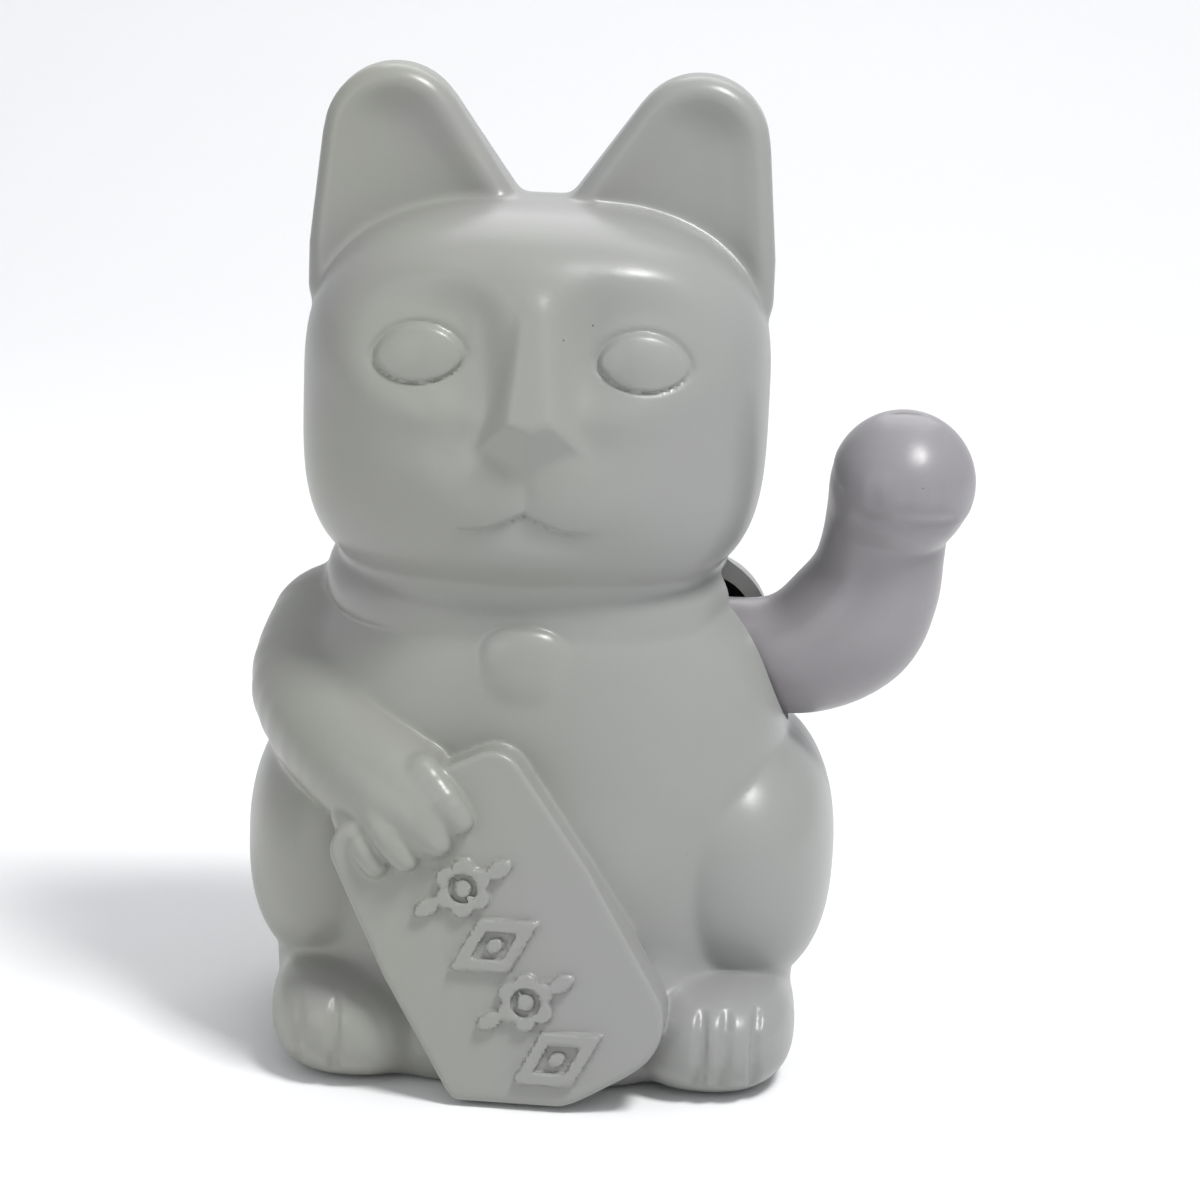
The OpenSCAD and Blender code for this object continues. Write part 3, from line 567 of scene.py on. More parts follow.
def moulded(name, bm):
    """Turns finished bmesh work into an object."""
    mesh = bpy.data.meshes.new(name)
    bm.to_mesh(mesh)
    bm.free()
    return solid_object(name, mesh)


FINE_GRID = 1.7  # a cut across a smaller face is divided this finely


def dice(bm, step, axes):
    """Cuts a mesh's faces into a grid, so that a large flat cut keeps well-shaped faces."""
    for i in axes:
        spots = [v.co[i] for v in bm.verts]
        normal = Vector([1.0 if k == i else 0.0 for k in range(3)])
        for k in range(1, math.ceil((max(spots) - min(spots)) / (step * MM))):
            everything = [*bm.verts, *bm.edges, *bm.faces]
            at = normal * (min(spots) + k * step * MM)
            bmesh.ops.bisect_plane(bm, geom=everything, plane_co=at, plane_no=normal)


def block(name, low, high, step=None, axes=()):
    """A box between two corners, as an object to cut with."""
    bm = bmesh.new()
    bmesh.ops.create_cube(bm, size=1)
    for v in bm.verts:
        v.co = [MM * (low[i] if v.co[i] < 0 else high[i]) for i in range(3)]
    if step:
        dice(bm, step, axes)
    return moulded(name, bm)


def rod(name, a, b, radius, sides=32):
    """A cylinder from a to b."""
    a, b = Vector(a), Vector(b)
    bm = bmesh.new()
    bmesh.ops.create_cone(
        bm,
        cap_ends=True,
        segments=sides,
        radius1=radius * MM,
        radius2=radius * MM,
        depth=(b - a).length * MM,
    )
    aim = (b - a).to_track_quat("Z", "Y").to_matrix().to_4x4()
    bm.transform(Matrix.Translation((a + b) / 2 * MM) @ aim)
    return moulded(name, bm)


def rounded_plate(name, length, width, corner, z0, z1):
    """A flat plate with round corners, centred on the axis."""
    steps = 12
    ring = []
    for k, (sx, sy) in enumerate(((1, 1), (-1, 1), (-1, -1), (1, -1))):
        for s in range(steps + 1):
            a = math.pi / 2 * (k + s / steps)
            cx, cy = sx * (length / 2 - corner), sy * (width / 2 - corner)
            ring.append((cx + corner * math.cos(a), cy + corner * math.sin(a)))
    bm = bmesh.new()
    face = bm.faces.new([bm.verts.new((x * MM, y * MM, z0 * MM)) for x, y in ring])
    grown = bmesh.ops.extrude_face_region(bm, geom=[face])
    for v in grown["geom"]:
        if isinstance(v, bmesh.types.BMVert):
            v.co.z = z1 * MM
    bmesh.ops.recalc_face_normals(bm, faces=bm.faces)
    dice(bm, FINE_GRID, (0, 1))
    return moulded(name, bm)


def carve(target, cutters, operation="DIFFERENCE"):
    """Applies solids to a target one after another and removes them."""
    for cutter in cutters:
        step = target.modifiers.new("carve", "BOOLEAN")
        step.operation = operation
        step.solver = "MANIFOLD"
        step.object = cutter
    bpy.context.view_layer.update()
    evaluated = target.evaluated_get(bpy.context.evaluated_depsgraph_get())
    made = bpy.data.meshes.new_from_object(evaluated)
    target.modifiers.clear()
    target.data = made
    for cutter in cutters:
        bpy.data.objects.remove(cutter)
    return target


def finish_faces(obj, sharp_deg=38):
    """Smooth faces, with a hard edge wherever two of them meet at more than an angle."""
    obj.data.shade_smooth()
    obj.data.set_sharp_from_angle(angle=math.radians(sharp_deg))
    obj.data.name = obj.name


PIVOT_Z = 61
SEAM_GAP = 0.05  # half the hairline that shows where two mouldings meet
SEAM_GRID = 1.9  # a cut across a casing is divided this finely
CLEAR = 60  # a cut that takes one side away reaches this far
SLOT_HALF, SLOT_TOP = 10.0, 76  # the arm's slot is round below and square above
SLOT_X, SLOT_END = 23, 53
SLOT_CORNER = 3
MOUTH_LENGTH, MOUTH_WIDTH, MOUTH_CORNER = 62.9, 50.5, 18  # the opening for the base plate
SCREW_DEPTH = 8
PEG_AT = [(-30.5, 103), (30.5, 103), (SEAT_X - 40, 30), (SEAT_X + 40, 30)]
PEG_R, PEG_TIP_Y, PEG_ROOT_Y = 1.5, -3.9, 3.5


def beyond_seam(rear):
    """The depths between which a half's other side is cut away."""
    return (-CLEAR, SEAM_GAP) if rear else (-SEAM_GAP, CLEAR)


def casing_half(name, rear):
    half = solid_object(name, cat_solid.copy())
    y0, y1 = beyond_seam(rear)
    x0, x1 = SLOT_X, SLOT_END
    side_y, shoulder_z = SLOT_HALF - SLOT_CORNER, SLOT_TOP - SLOT_CORNER
    cutters = [
        block("seam", (-50, y0, -5), (53, y1, 155), SEAM_GRID, (0, 2)),
        solid_object("hollow", hollow_solid.copy()),
        rod("slot_foot", (x0, 0, PIVOT_Z), (x1, 0, PIVOT_Z), SLOT_HALF, 64),
        block("slot", (x0, -SLOT_HALF, PIVOT_Z), (x1, SLOT_HALF, shoulder_z)),
        block("slot_top", (x0, -side_y, PIVOT_Z), (x1, side_y, SLOT_TOP)),
        rounded_plate("mouth", MOUTH_LENGTH, MOUTH_WIDTH, MOUTH_CORNER, -5, FLOOR_Z),
    ]
    for y in (-side_y, side_y):
        cutters.append(rod("slot_corner", (x0, y, shoulder_z), (x1, y, shoulder_z), SLOT_CORNER))
    for x, y in SCREW_AT:
        if (y > 0) == rear:
            top = FLOOR_Z + SCREW_DEPTH
            cutters.append(rod("screw_hole", (x, y, 2), (x, y, top), SCREW_HOLE_R, 16))
    carve(half, cutters)
    if rear:
        pegs = [rod("peg", (x, PEG_TIP_Y, z), (x, PEG_ROOT_Y, z), PEG_R, 20) for x, z in PEG_AT]
        carve(half, pegs, "UNION")
    finish_faces(half)
    return half


front_shell = casing_half("front_casing", rear=False)
rear_shell = casing_half("rear_casing", rear=True)


class Value:
    """A shader socket that can be used in Python expressions."""

    def __init__(self, shop, socket):
        self.shop = shop
        self.socket = socket

    def maths(self, operation, *values):
        return self.shop.node("ShaderNodeMath", {"operation": operation}, *values)

    def __add__(self, other):
        return self.maths("ADD", self, other)

    def __sub__(self, other):
        return self.maths("SUBTRACT", self, other)

    def __rsub__(self, other):
        return self.maths("SUBTRACT", other, self)

    def __mul__(self, other):
        return self.maths("MULTIPLY", self, other)

    __radd__ = __add__
    __rmul__ = __mul__

    def sin(self):
        return self.maths("SINE", self)

    def between(self, low, high):
        """0 below low, 1 above high, smooth between."""
        settings = {"interpolation_type": "SMOOTHSTEP"}
        return self.shop.node("ShaderNodeMapRange", settings, self, low, high, 0.0, 1.0)


class Finish:
    """One procedural material: a Principled shader and the nodes that feed it."""

    def __init__(self, name, **constants):
        self.material = bpy.data.materials.new(name)
        self.material.use_nodes = True
        self.tree = self.material.node_tree
        self.shader = self.tree.nodes["Principled BSDF"]
        for socket, value in constants.items():
            self.shader.inputs[socket.replace("_", " ")].default_value = value
        self.place = self.node("ShaderNodeTexCoord", {}, out="Object")

    def node(self, kind, settings, *values, out=0, **named):
        """A node of a type, its settings, then the values or links of its sockets in order."""
        made = self.tree.nodes.new(kind)
        for key, value in settings.items():
            if key == "stops":
                self.set_stops(made.color_ramp, value)
            else:
                setattr(made, key, value)
        sockets = list(zip(made.inputs, values))
        sockets += [(made.inputs[key.replace("_", " ")], value) for key, value in named.items()]
        for socket, value in sockets:
            if isinstance(value, Value):
                self.tree.links.new(value.socket, socket)
            elif value is not None:
                socket.default_value = value
        return Value(self, made.outputs[out])

    @staticmethod
    def set_stops(color_ramp, stops):
        while len(color_ramp.elements) < len(stops):
            color_ramp.elements.new(1.0)
        for element, (position, color) in zip(color_ramp.elements, stops):
            element.position = position
            element.color = (*color, 1)

    def noise(self, scale, detail=3.0, rough=0.5, place=None):
        """Even grain; scale is in lumps a metre."""
        return self.node(
            "ShaderNodeTexNoise", {}, Vector=place or self.place, Scale=scale, Detail=detail,
            Roughness=rough,
        )

    def cells(self, scale, feature="F1"):
        return self.node(
            "ShaderNodeTexVoronoi", {"feature": feature}, Vector=self.place, Scale=scale
        )

    def stretched(self, scale):
        """The object's coordinates stretched, so that a grain runs along one axis."""
        return self.node("ShaderNodeMapping", {}, Vector=self.place, Scale=scale)

    def axis(self, letter):
        return self.node("ShaderNodeSeparateXYZ", {}, self.place, out=letter)

    def mix(self, share, a, b):
        """A colour between two colours."""
        made = self.tree.nodes.new("ShaderNodeMix")
        made.data_type = "RGBA"
        ends = [s for s in made.inputs if s.type == "RGBA"]
        for socket, value in ((made.inputs[0], share), (ends[0], a), (ends[1], b)):
            if isinstance(value, Value):
                self.tree.links.new(value.socket, socket)
            else:
                socket.default_value = value if socket is made.inputs[0] else (*value[:3], 1)
        return Value(self, next(s for s in made.outputs if s.type == "RGBA"))

    def feed(self, socket, value):
        self.tree.links.new(value.socket, self.shader.inputs[socket])

    def bump(self, *layers):
        """Layers of height and how deep each is in millimetres, the broadest first."""
        normal = None
        for height, depth in layers:
            named = {"Height": height, "Distance": depth * MM, "Strength": 1.0}
            if normal is not None:
                named["Normal"] = normal
            normal = self.node("ShaderNodeBump", {}, **named)
        self.feed("Normal", normal)


def satin_moulding(name, base, shaded_side_tone, cool):
    """Satin ABS: slow shifts of tone, a faint orange peel, soft handling marks, odd pits coloured
    near black as painted shade in them, and painted shade on the side away from the key light.
    """
    f = Finish(name, Specular_IOR_Level=0.42, IOR=1.5, Coat_Roughness=0.35)
    tone = f.noise(26, 2.0)
    # painted shade: the negative X side, away from the key light, is coloured darker and more
    # yellow-green
    side = f.axis("X").between(0.035, -0.045)
    body = f.mix(side * 0.75, base, shaded_side_tone)
    body = f.mix(tone.between(0.42, 0.7) * 0.55, body, cool)
    # painted shade: tiny pits, dented by the bump below, are also coloured near black
    shaded_pit = f.cells(210).between(0.035, 0.02) * f.noise(60, 0.0).between(0.66, 0.7)
    rubbed = f.noise(95, 6.0, 0.7).between(0.5, 0.78)
    body = f.mix(rubbed * 0.1, body, [c * 1.12 for c in base])
    f.feed("Base Color", f.mix(shaded_pit * 0.85, body, (0.06, 0.06, 0.055)))
    f.feed("Roughness", 0.27 + 0.07 * tone + 0.09 * rubbed)
    f.bump((f.noise(160, 2.0), 0.02), (f.noise(1500, 2.0), 0.012), (shaded_pit, -0.05))
    return f.material


casing_finish = satin_moulding(
    "casing_satin", (0.275, 0.28, 0.267), (0.262, 0.265, 0.226), (0.268, 0.266, 0.268)
)
for shell, node in ((front_shell, "front_shell"), (rear_shell, "rear_shell")):
    shell.data.materials.clear()
    shell.data.materials.append(casing_finish)
    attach(shell, "figure")
    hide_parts(node)

# ---------------------------------------------------------------------------------------------
# Raised arm: two more shells of the same ABS, from a separate mould; their satin is coloured a
# little darker and more lavender than the casing's, as painted shade. They clamp the plug at the
# shoulder between them and meet in the plane of the axle and the paw.
# ---------------------------------------------------------------------------------------------
ARM_WALL = 1.6
ARM_ROOT_X = 26
ARM = [
    (ARM_ROOT_X - 4, 0, PIVOT_Z, 8.8),
    (36, 0, PIVOT_Z, 8.8),
    (43.5, 0, 62.4, 10),
    (49.5, 0, 66.8, 11.1),
    (52.7, -0.3, 72.6, 10.2),
    (53.8, -0.6, 78.4, 9.5),
    (54.5, -1.5, 84.2, 9.5),
    (56.2, -4, 90, 11.1),
]
arm_route = eased(ARM, 5)
arm_clay = Clay()
arm_clay.add(limb(arm_route), 1.0)


# The paw bends forward at the wrist, with toes that curl under its tip.
def paw_fold(x, y, z):
    """A soft fold across the front, where the paw bends down over the wrist."""
    line = 86.0 - 0.012 * (x - 56.4) ** 2
    lip = np.exp(-(((z - line) / 1.4) ** 2)) * ramp(np.abs(x - 56.4), 9, 6)
    over = bump(x, z, (56.2, 91.5), (8.5, 5.2), 2.6)
    toe = sum(np.exp(-(((x - c) / 0.9) ** 2)) for c in (51.4, 56.2, 61.0))
    toes = toe * ramp(z, 85, 88.5) * ramp(z, 95, 90)
    return (-0.8 * lip + 0.9 * over - 0.16 * toes) * ramp(y, -8, -12)


arm_clay.press(Form(paw_fold, (44, -24, 78), (70, -7, 99)))
crown_dash = [(53.2, -5.2, 101.0, 0.5), (58.8, -5.2, 101.0, 0.5)]
arm_clay.cut(limb(crown_dash), 0.4)
ARM_BOX = ((16, -18, 48), (72, 16, 106))
arm_solid = arm_clay.mesh("arm_outside", *ARM_BOX, 0.7, refine=True)
arm_hollow = Clay()
arm_hollow.add(limb(arm_route, ARM_WALL), 1.0)
arm_hollow_solid = arm_hollow.mesh("arm_hollow", *ARM_BOX, 1.0)
RIB_X, RIB_T, RIB_R, RIB_BORE_R = (ARM_ROOT_X, ARM_ROOT_X + 3.6), 1.0, 8.0, 3.5


def plug_rib(x):
    """A ring across the arm's root, with a bore that the plug's neck passes through."""
    rib = rod("rib", (x, 0, PIVOT_Z), (x + RIB_T, 0, PIVOT_Z), RIB_R, 48)
    bore = rod("bore", (x - RIB_T, 0, PIVOT_Z), (x + 3 * RIB_T, 0, PIVOT_Z), RIB_BORE_R, 40)
    return carve(rib, [bore])


def arm_half(name, rear):
    half = solid_object(name, arm_solid.copy())
    root = block("root", (0, -40, 40), (ARM_ROOT_X, 40, 80), FINE_GRID, (1, 2))
    carve(half, [root, solid_object("arm_hollow", arm_hollow_solid.copy())])
    for x in RIB_X:
        carve(half, [plug_rib(x)], "UNION")
    y0, y1 = beyond_seam(rear)
    carve(half, [block("seam", (18, y0, 44), (74, y1, 108), FINE_GRID, (0, 2))])
    finish_faces(half)
    return half


# painted shade: the arm's satin is a darker, more lavender copy of the casing's
arm_shaded_finish = satin_moulding(
    "arm_satin", (0.25, 0.238, 0.248), (0.246, 0.238, 0.24), (0.238, 0.23, 0.242)
)
for rear, node in ((False, "arm_front_shell"), (True, "arm_rear_shell")):
    shell = arm_half("raised_arm_rear" if rear else "raised_arm_front", rear)
    shell.data.materials.clear()
    shell.data.materials.append(arm_shaded_finish)
    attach(shell, "arm")
    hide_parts(node)

# ---------------------------------------------------------------------------------------------
# Base plate, foam ring and four base screws: the plate is matt moulded plastic that closes the
# figure from below, with the cell bay on its upper side. Self-tapping screws hold it to the
# casing's lugs. The ring is die-cut from closed-cell foam and stuck on.
# ---------------------------------------------------------------------------------------------


def matt_moulding(name, base, grain=0.02, rough=0.5):
    """Plain moulded plastic with the fine spark-eroded texture of its tool."""
    f = Finish(name, Specular_IOR_Level=0.4, IOR=1.5)
    tone = f.noise(70, 3.0)
    spark = f.noise(2600, 2.0, 0.7)
    flow = f.noise(320, 4.0, 0.6, f.stretched((1, 0.25, 1)))
    f.feed("Base Color", f.mix(tone.between(0.3, 0.75), [c * 0.93 for c in base], base))
    f.feed("Roughness", rough + 0.12 * spark + 0.05 * flow)
    f.bump((flow, grain * 0.8), (spark, grain))
    return f.material


def foam(name, base):
    """Closed-cell foam: packed bubbles, cut open here and there at the surface, the open pores
    coloured darker as painted shade.
    """
    f = Finish(name, Specular_IOR_Level=0.25)
    bubbles = f.cells(1900)
    # painted shade: the centres of the cells, dented by the bump below, are coloured darker
    shaded_pores = bubbles.between(0.05, 0.3)
    f.feed("Base Color", f.mix(shaded_pores, [c * 0.45 for c in base], base))
    f.feed("Roughness", 0.8 + 0.1 * f.noise(400))
    f.bump((f.noise(240), 0.08), (bubbles, 0.12))
    return f.material


def plated_steel(name, base, rough=0.3, along=(1, 1, 1)):
    """Plated or ground steel with drawn lines and slight tarnish."""
    f = Finish(name, Metallic=1.0)
    drawn = f.noise(900, 3.0, 0.6, f.stretched(along))
    tarnish = f.noise(420, 4.0).between(0.45, 0.8)
    f.feed("Base Color", f.mix(tarnish * 0.5, base, [c * 0.72 for c in base]))
    f.feed("Roughness", rough + 0.16 * drawn + 0.12 * tarnish)
    f.bump((drawn, 0.006))
    return f.material


def dress(node, material):
    """Gives a CAD node its finish."""
    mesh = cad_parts[node].data
    mesh.materials.clear()
    mesh.materials.append(material)


dress("base_plate", matt_moulding("base_matt", (0.5, 0.5, 0.48)))
dress("base_pad", foam("pad_foam", (0.06, 0.06, 0.065)))


class Grower:
    """A Geometry Nodes tree with named inputs, run once and turned into a plain mesh."""

    def __init__(self, name, **sizes):
        self.tree = bpy.data.node_groups.new(name, "GeometryNodeTree")
        self.sizes = sizes
        self.tree.interface.new_socket(
            name="Geometry", in_out="OUTPUT", socket_type="NodeSocketGeometry"
        )
        for key, value in sizes.items():
            kind = "NodeSocketInt" if isinstance(value, int) else "NodeSocketFloat"
            self.tree.interface.new_socket(name=key, in_out="INPUT", socket_type=kind)
        self.ends = self.tree.nodes.new("NodeGroupOutput")
        self.given = self.tree.nodes.new("NodeGroupInput")

    def size(self, key):
        return self.given.outputs[key]

    def node(self, kind, out=0, **values):
        made = self.tree.nodes.new(kind)
        for key, value in values.items():
            socket = made.inputs[key.replace("_", " ")]
            if isinstance(value, bpy.types.NodeSocket):
                self.tree.links.new(value, socket)
            else:
                socket.default_value = value
        return made.outputs[out]

    def maths(self, operation, a, b):
        made = self.tree.nodes.new("ShaderNodeMath")
        made.operation = operation
        for socket, value in zip(made.inputs, (a, b)):
            if isinstance(value, bpy.types.NodeSocket):
                self.tree.links.new(value, socket)
            else:
                socket.default_value = value
        return made.outputs[0]

    def vector(self, x=0.0, y=0.0, z=0.0):
        return self.node("ShaderNodeCombineXYZ", X=x, Y=y, Z=z)

    def grow(self, name, geometry, material, body, node, slot):
        """Ends the tree, runs it, and hands over a plain mesh that stands for a CAD node."""
        real = self.node("GeometryNodeRealizeInstances", Geometry=geometry)
        painted = self.node("GeometryNodeSetMaterial", Geometry=real, Material=material)
        self.tree.links.new(painted, self.ends.inputs[0])
        holder = solid_object(name + "_holder", bpy.data.meshes.new(name + "_holder"))
        run = holder.modifiers.new("grow", "NODES")
        run.node_group = self.tree
        for item in self.tree.interface.items_tree:
            if item.in_out == "INPUT":
                run[item.identifier] = self.sizes[item.name]
        bpy.context.view_layer.update()
        evaluated = holder.evaluated_get(bpy.context.evaluated_depsgraph_get())
        mesh = bpy.data.meshes.new_from_object(evaluated)
        holder.modifiers.clear()
        bpy.data.objects.remove(holder)
        made = solid_object(name, mesh)
        finish_faces(made, 32)
        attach(made, body)
        if node:
            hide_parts(node)
        return made


def turned_profile(name, profile, sides):
    """A lathed solid about Z from radius and height pairs, closed at both ends."""
    bm = bmesh.new()
    rings = []
    for r, z in profile:
        if r == 0:
            rings.append([bm.verts.new((0, 0, z * MM))] * sides)
            continue
        ring = []
        for k in range(sides):
            a = 2 * math.pi * k / sides
            ring.append(bm.verts.new((r * math.cos(a) * MM, r * math.sin(a) * MM, z * MM)))
        rings.append(ring)
    for lower, upper in zip(rings[:-1], rings[1:]):
        for k in range(sides):
            n = (k + 1) % sides
            corners = list(dict.fromkeys([lower[k], lower[n], upper[n], upper[k]]))
            bm.faces.new(corners)
    bmesh.ops.recalc_face_normals(bm, faces=bm.faces)
    return moulded(name, bm)


def screw_pattern(length=7.5, pitch=0.8):
    """One self-tapping screw that points up: domed head, cross recess, rolled thread, tip."""
    head_r, head_t = 2.0, 1.4
    crest = 1.05
    root = crest * 0.78
    profile = [(0, -head_t), (head_r * 0.55, -head_t), (head_r * 0.85, -head_t * 0.86)]
    profile += [(head_r, -head_t * 0.5), (head_r, -0.1), (head_r - 0.1, 0), (crest * 0.8, 0)]
    z = 0.5
    while z + pitch < length - 1.2:
        profile += [(root, z), (root, z + pitch * 0.45), (crest, z + pitch * 0.7)]
        profile.append((root, z + pitch * 0.95))
        z += pitch
    profile += [(root * 0.9, length - 1.2), (0, length - 0.05)]
    screw = turned_profile("screw_pattern", profile, 28)
    arms = [(-1.3, -0.25, 1.3, 0.25), (-0.25, -1.3, 0.25, 1.3)]
    cross = [block("arm", (x0, y0, -2), (x1, y1, -head_t + 0.75)) for x0, y0, x1, y1 in arms]
    carve(screw, cross)
    return screw


def screw_set(name, pattern, across, along, z, material, node, flip=False, diagonal=False):
    """Instances of one screw on the corners of a rectangle, or on two opposite ones."""
    g = Grower(name + "_tree", Across=across * MM, Along=along * MM, Height=z * MM)
    grid = g.node(
        "GeometryNodeMeshGrid",
        Size_X=g.size("Across"),
        Size_Y=g.size("Along"),
        Vertices_X=2,
        Vertices_Y=2,
    )
    points = g.node("GeometryNodeMeshToPoints", Mesh=grid)
    if diagonal:
        index = g.node("GeometryNodeInputIndex")
        inner = g.maths("LESS_THAN", g.maths("ABSOLUTE", g.maths("SUBTRACT", index, 1.5), 0.0), 1.0)
        points = g.node("GeometryNodeDeleteGeometry", Geometry=points, Selection=inner)
    lifted = g.node(
        "GeometryNodeSetPosition", Geometry=points, Offset=g.vector(z=g.size("Height"))
    )
    shape = g.node("GeometryNodeObjectInfo", out="Geometry", Object=pattern)
    turn = (math.pi, 0, 0) if flip else (0, 0, 0)
    placed = g.node("GeometryNodeInstanceOnPoints", Points=lifted, Instance=shape, Rotation=turn)
    return g.grow(name, placed, material, "figure", node, "screw_steel")


zinc = plated_steel("zinc_plate", (0.62, 0.62, 0.63), 0.28)
long_screw = screw_pattern()
BASE_HEAD_Z = 2.4  # height of the seat under the base screws' heads
screw_set(
    "base_screw_set", long_screw, SCREWS_ACROSS, SCREWS_ALONG, BASE_HEAD_Z, zinc, "base_screws"
)

# ---------------------------------------------------------------------------------------------
# Battery door: a flat matt lid in the base, hinged on two moulded pins, with a scooped thumb
# recess and grip ribs at its free end.
# ---------------------------------------------------------------------------------------------
door_low, door_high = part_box("battery_door")
dress("battery_door", matt_moulding("door_matt", (0.52, 0.52, 0.5), 0.015))
GRIP_PITCH, GRIP_COUNT, GRIP_LENGTH = 1.1, 5, 9.0
GRIP_R, GRIP_DROP, GRIP_INSET = 0.22, 0.08, 12.5
g = Grower("door_rib_tree", Pitch=GRIP_PITCH * MM, Count=GRIP_COUNT, Length=GRIP_LENGTH * MM)
line = g.node(
    "GeometryNodeMeshLine", Count=g.size("Count"), Offset=g.vector(x=g.size("Pitch"))
)
shifted = g.node(
    "GeometryNodeSetPosition",
    Geometry=line,
    Offset=(door_high.x - GRIP_INSET * MM, 0, door_low.z - GRIP_DROP * MM),
)
rib = g.node(
    "GeometryNodeMeshCylinder", Vertices=14, Radius=GRIP_R * MM, Depth=g.size("Length")
)
ribs = g.node(
    "GeometryNodeInstanceOnPoints", Points=shifted, Instance=rib, Rotation=(math.pi / 2, 0, 0)
)
g.grow("door_grip_ribs", ribs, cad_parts["battery_door"].data.materials[0], "door", None,
       "base_plastic")

# ---------------------------------------------------------------------------------------------
# Power: one AA cell in a printed sleeve, a coiled contact spring and two nickel-plated contact
# plates that slide into the ends of the bay.
# ---------------------------------------------------------------------------------------------


def cell_sleeve():
    """A plain shrink sleeve in two bands, bare metal at both ends."""
    low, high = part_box("battery_cell")
    f = Finish("cell_sleeve", Coat_Weight=0.6, Coat_Roughness=0.12, Specular_IOR_Level=0.5)
    x = f.axis("X")
    length = high.x - low.x
    start = x.between(low.x + 0.0006, low.x + 0.0008)
    end = x.between(high.x - 0.0021, high.x - 0.0023)
    bare = 1 - start * end
    gold = x.between(low.x + length * 0.72, low.x + length * 0.725)
    scuff = f.noise(900, 6.0, 0.7).between(0.55, 0.8)
    sleeve = f.mix(gold, (0.022, 0.024, 0.028), (0.55, 0.33, 0.11))
    sleeve = f.mix(scuff * 0.3, sleeve, (0.3, 0.3, 0.3))
    f.feed("Base Color", f.mix(bare, sleeve, (0.66, 0.66, 0.66)))
    f.feed("Metallic", bare + gold * 0.6 * (1 - bare))
    f.feed("Roughness", 0.26 + 0.2 * scuff)
    f.bump((f.noise(700), 0.01))
    return f.material


nickel = plated_steel("nickel_plate", (0.7, 0.69, 0.67), 0.22, (1, 6, 1))
dress("battery_cell", cell_sleeve())
for node in ("contact_plate_minus", "contact_plate_plus"):
    dress(node, nickel)

spring_low, spring_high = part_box("contact_spring")
g = Grower("spring_tree", Turns=3.2, Wide=3.4 * MM, Narrow=2.2 * MM, Wire=0.28 * MM,
           Length=spring_high.x - spring_low.x - 0.0006)
spiral = g.node(
    "GeometryNodeCurveSpiral",
    Resolution=40,
    Rotations=g.size("Turns"),
    Start_Radius=g.size("Wide"),
    End_Radius=g.size("Narrow"),
    Height=g.size("Length"),
)
cell_mid = (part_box("battery_cell")[0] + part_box("battery_cell")[1]) / 2
upright = g.node(
    "GeometryNodeTransform",
    Geometry=spiral,
    Translation=(spring_low.x + 0.0003, 0, cell_mid.z),
    Rotation=(0, math.pi / 2, 0),
)
wire = g.node("GeometryNodeCurvePrimitiveCircle", Resolution=10, Radius=g.size("Wire"))
coil = g.node("GeometryNodeCurveToMesh", Curve=upright, Profile_Curve=wire, Fill_Caps=True)
g.grow("contact_spring_coil", coil, nickel, "figure", "contact_spring", "contact_steel")

# ---------------------------------------------------------------------------------------------
# Pivot stand, its screws and the two bushes: a moulded bridge screwed to the base plate over
# the cell bay. Turned brass bushes are pressed into its uprights to carry the axle.
# ---------------------------------------------------------------------------------------------
dress("pivot_stand", matt_moulding("frame_matt", (0.63, 0.63, 0.6), 0.015))
DECK_Z = 21.2
screw_set("stand_screw_set", long_screw, 34.2, 22, DECK_Z, zinc, "stand_screws", flip=True)


def turned_metal(name, base, rough=0.22):
    """Metal turned in a lathe about X: rings that follow the tool."""
    f = Finish(name, Metallic=1.0)
    y, z = f.axis("Y"), f.axis("Z") - PIVOT_Z * MM
    radius = f.node("ShaderNodeMath", {"operation": "SQRT"}, y * y + z * z)
    rings = (radius * 42000 + f.axis("X") * 30000).sin()
    grime = f.noise(900, 4.0).between(0.5, 0.8)
    f.feed("Base Color", f.mix(grime * 0.6, base, [c * 0.6 for c in base]))
    f.feed("Roughness", rough + 0.05 * rings + 0.2 * grime)
    f.bump((rings, 0.003))
    return f.material


brass = turned_metal("bush_brass", (0.72, 0.5, 0.2))
for node in ("bush_left", "bush_right"):
    dress(node, brass)

# ---------------------------------------------------------------------------------------------
# Drive circuit: a green board on the stand with its bobbin and winding, a transistor, a small
# electrolytic capacitor and two resistors, held by two short screws.
# ---------------------------------------------------------------------------------------------


def solder_mask():
    """Green lacquer over etched copper, with a fine glass weave under it."""
    f = Finish("board_green", Coat_Weight=0.4, Coat_Roughness=0.15)
    traces = f.cells(230, "DISTANCE_TO_EDGE").between(0.05, 0.09)
    weave = (f.axis("X") * 9000).sin() * (f.axis("Y") * 9000).sin()
    mask = f.mix(traces, (0.05, 0.17, 0.075), (0.018, 0.1, 0.045))
    f.feed("Base Color", f.mix(f.noise(500).between(0.4, 0.8) * 0.3, mask, (0.01, 0.06, 0.03)))
    f.feed("Roughness", 0.3 + 0.08 * f.noise(300))
    f.bump((traces, -0.03), (weave, 0.004))
    return f.material


dress("circuit_board", solder_mask())
dress("coil_bobbin", matt_moulding("bobbin_nylon", (0.66, 0.62, 0.52), 0.01, 0.4))
short_screw = screw_pattern(length=3.0, pitch=0.7)
BOARD_T = 1.6
screw_set(
    "board_screw_set", short_screw, 19, 22, DECK_Z + BOARD_T, zinc, "board_screws",
    flip=True, diagonal=True,
)


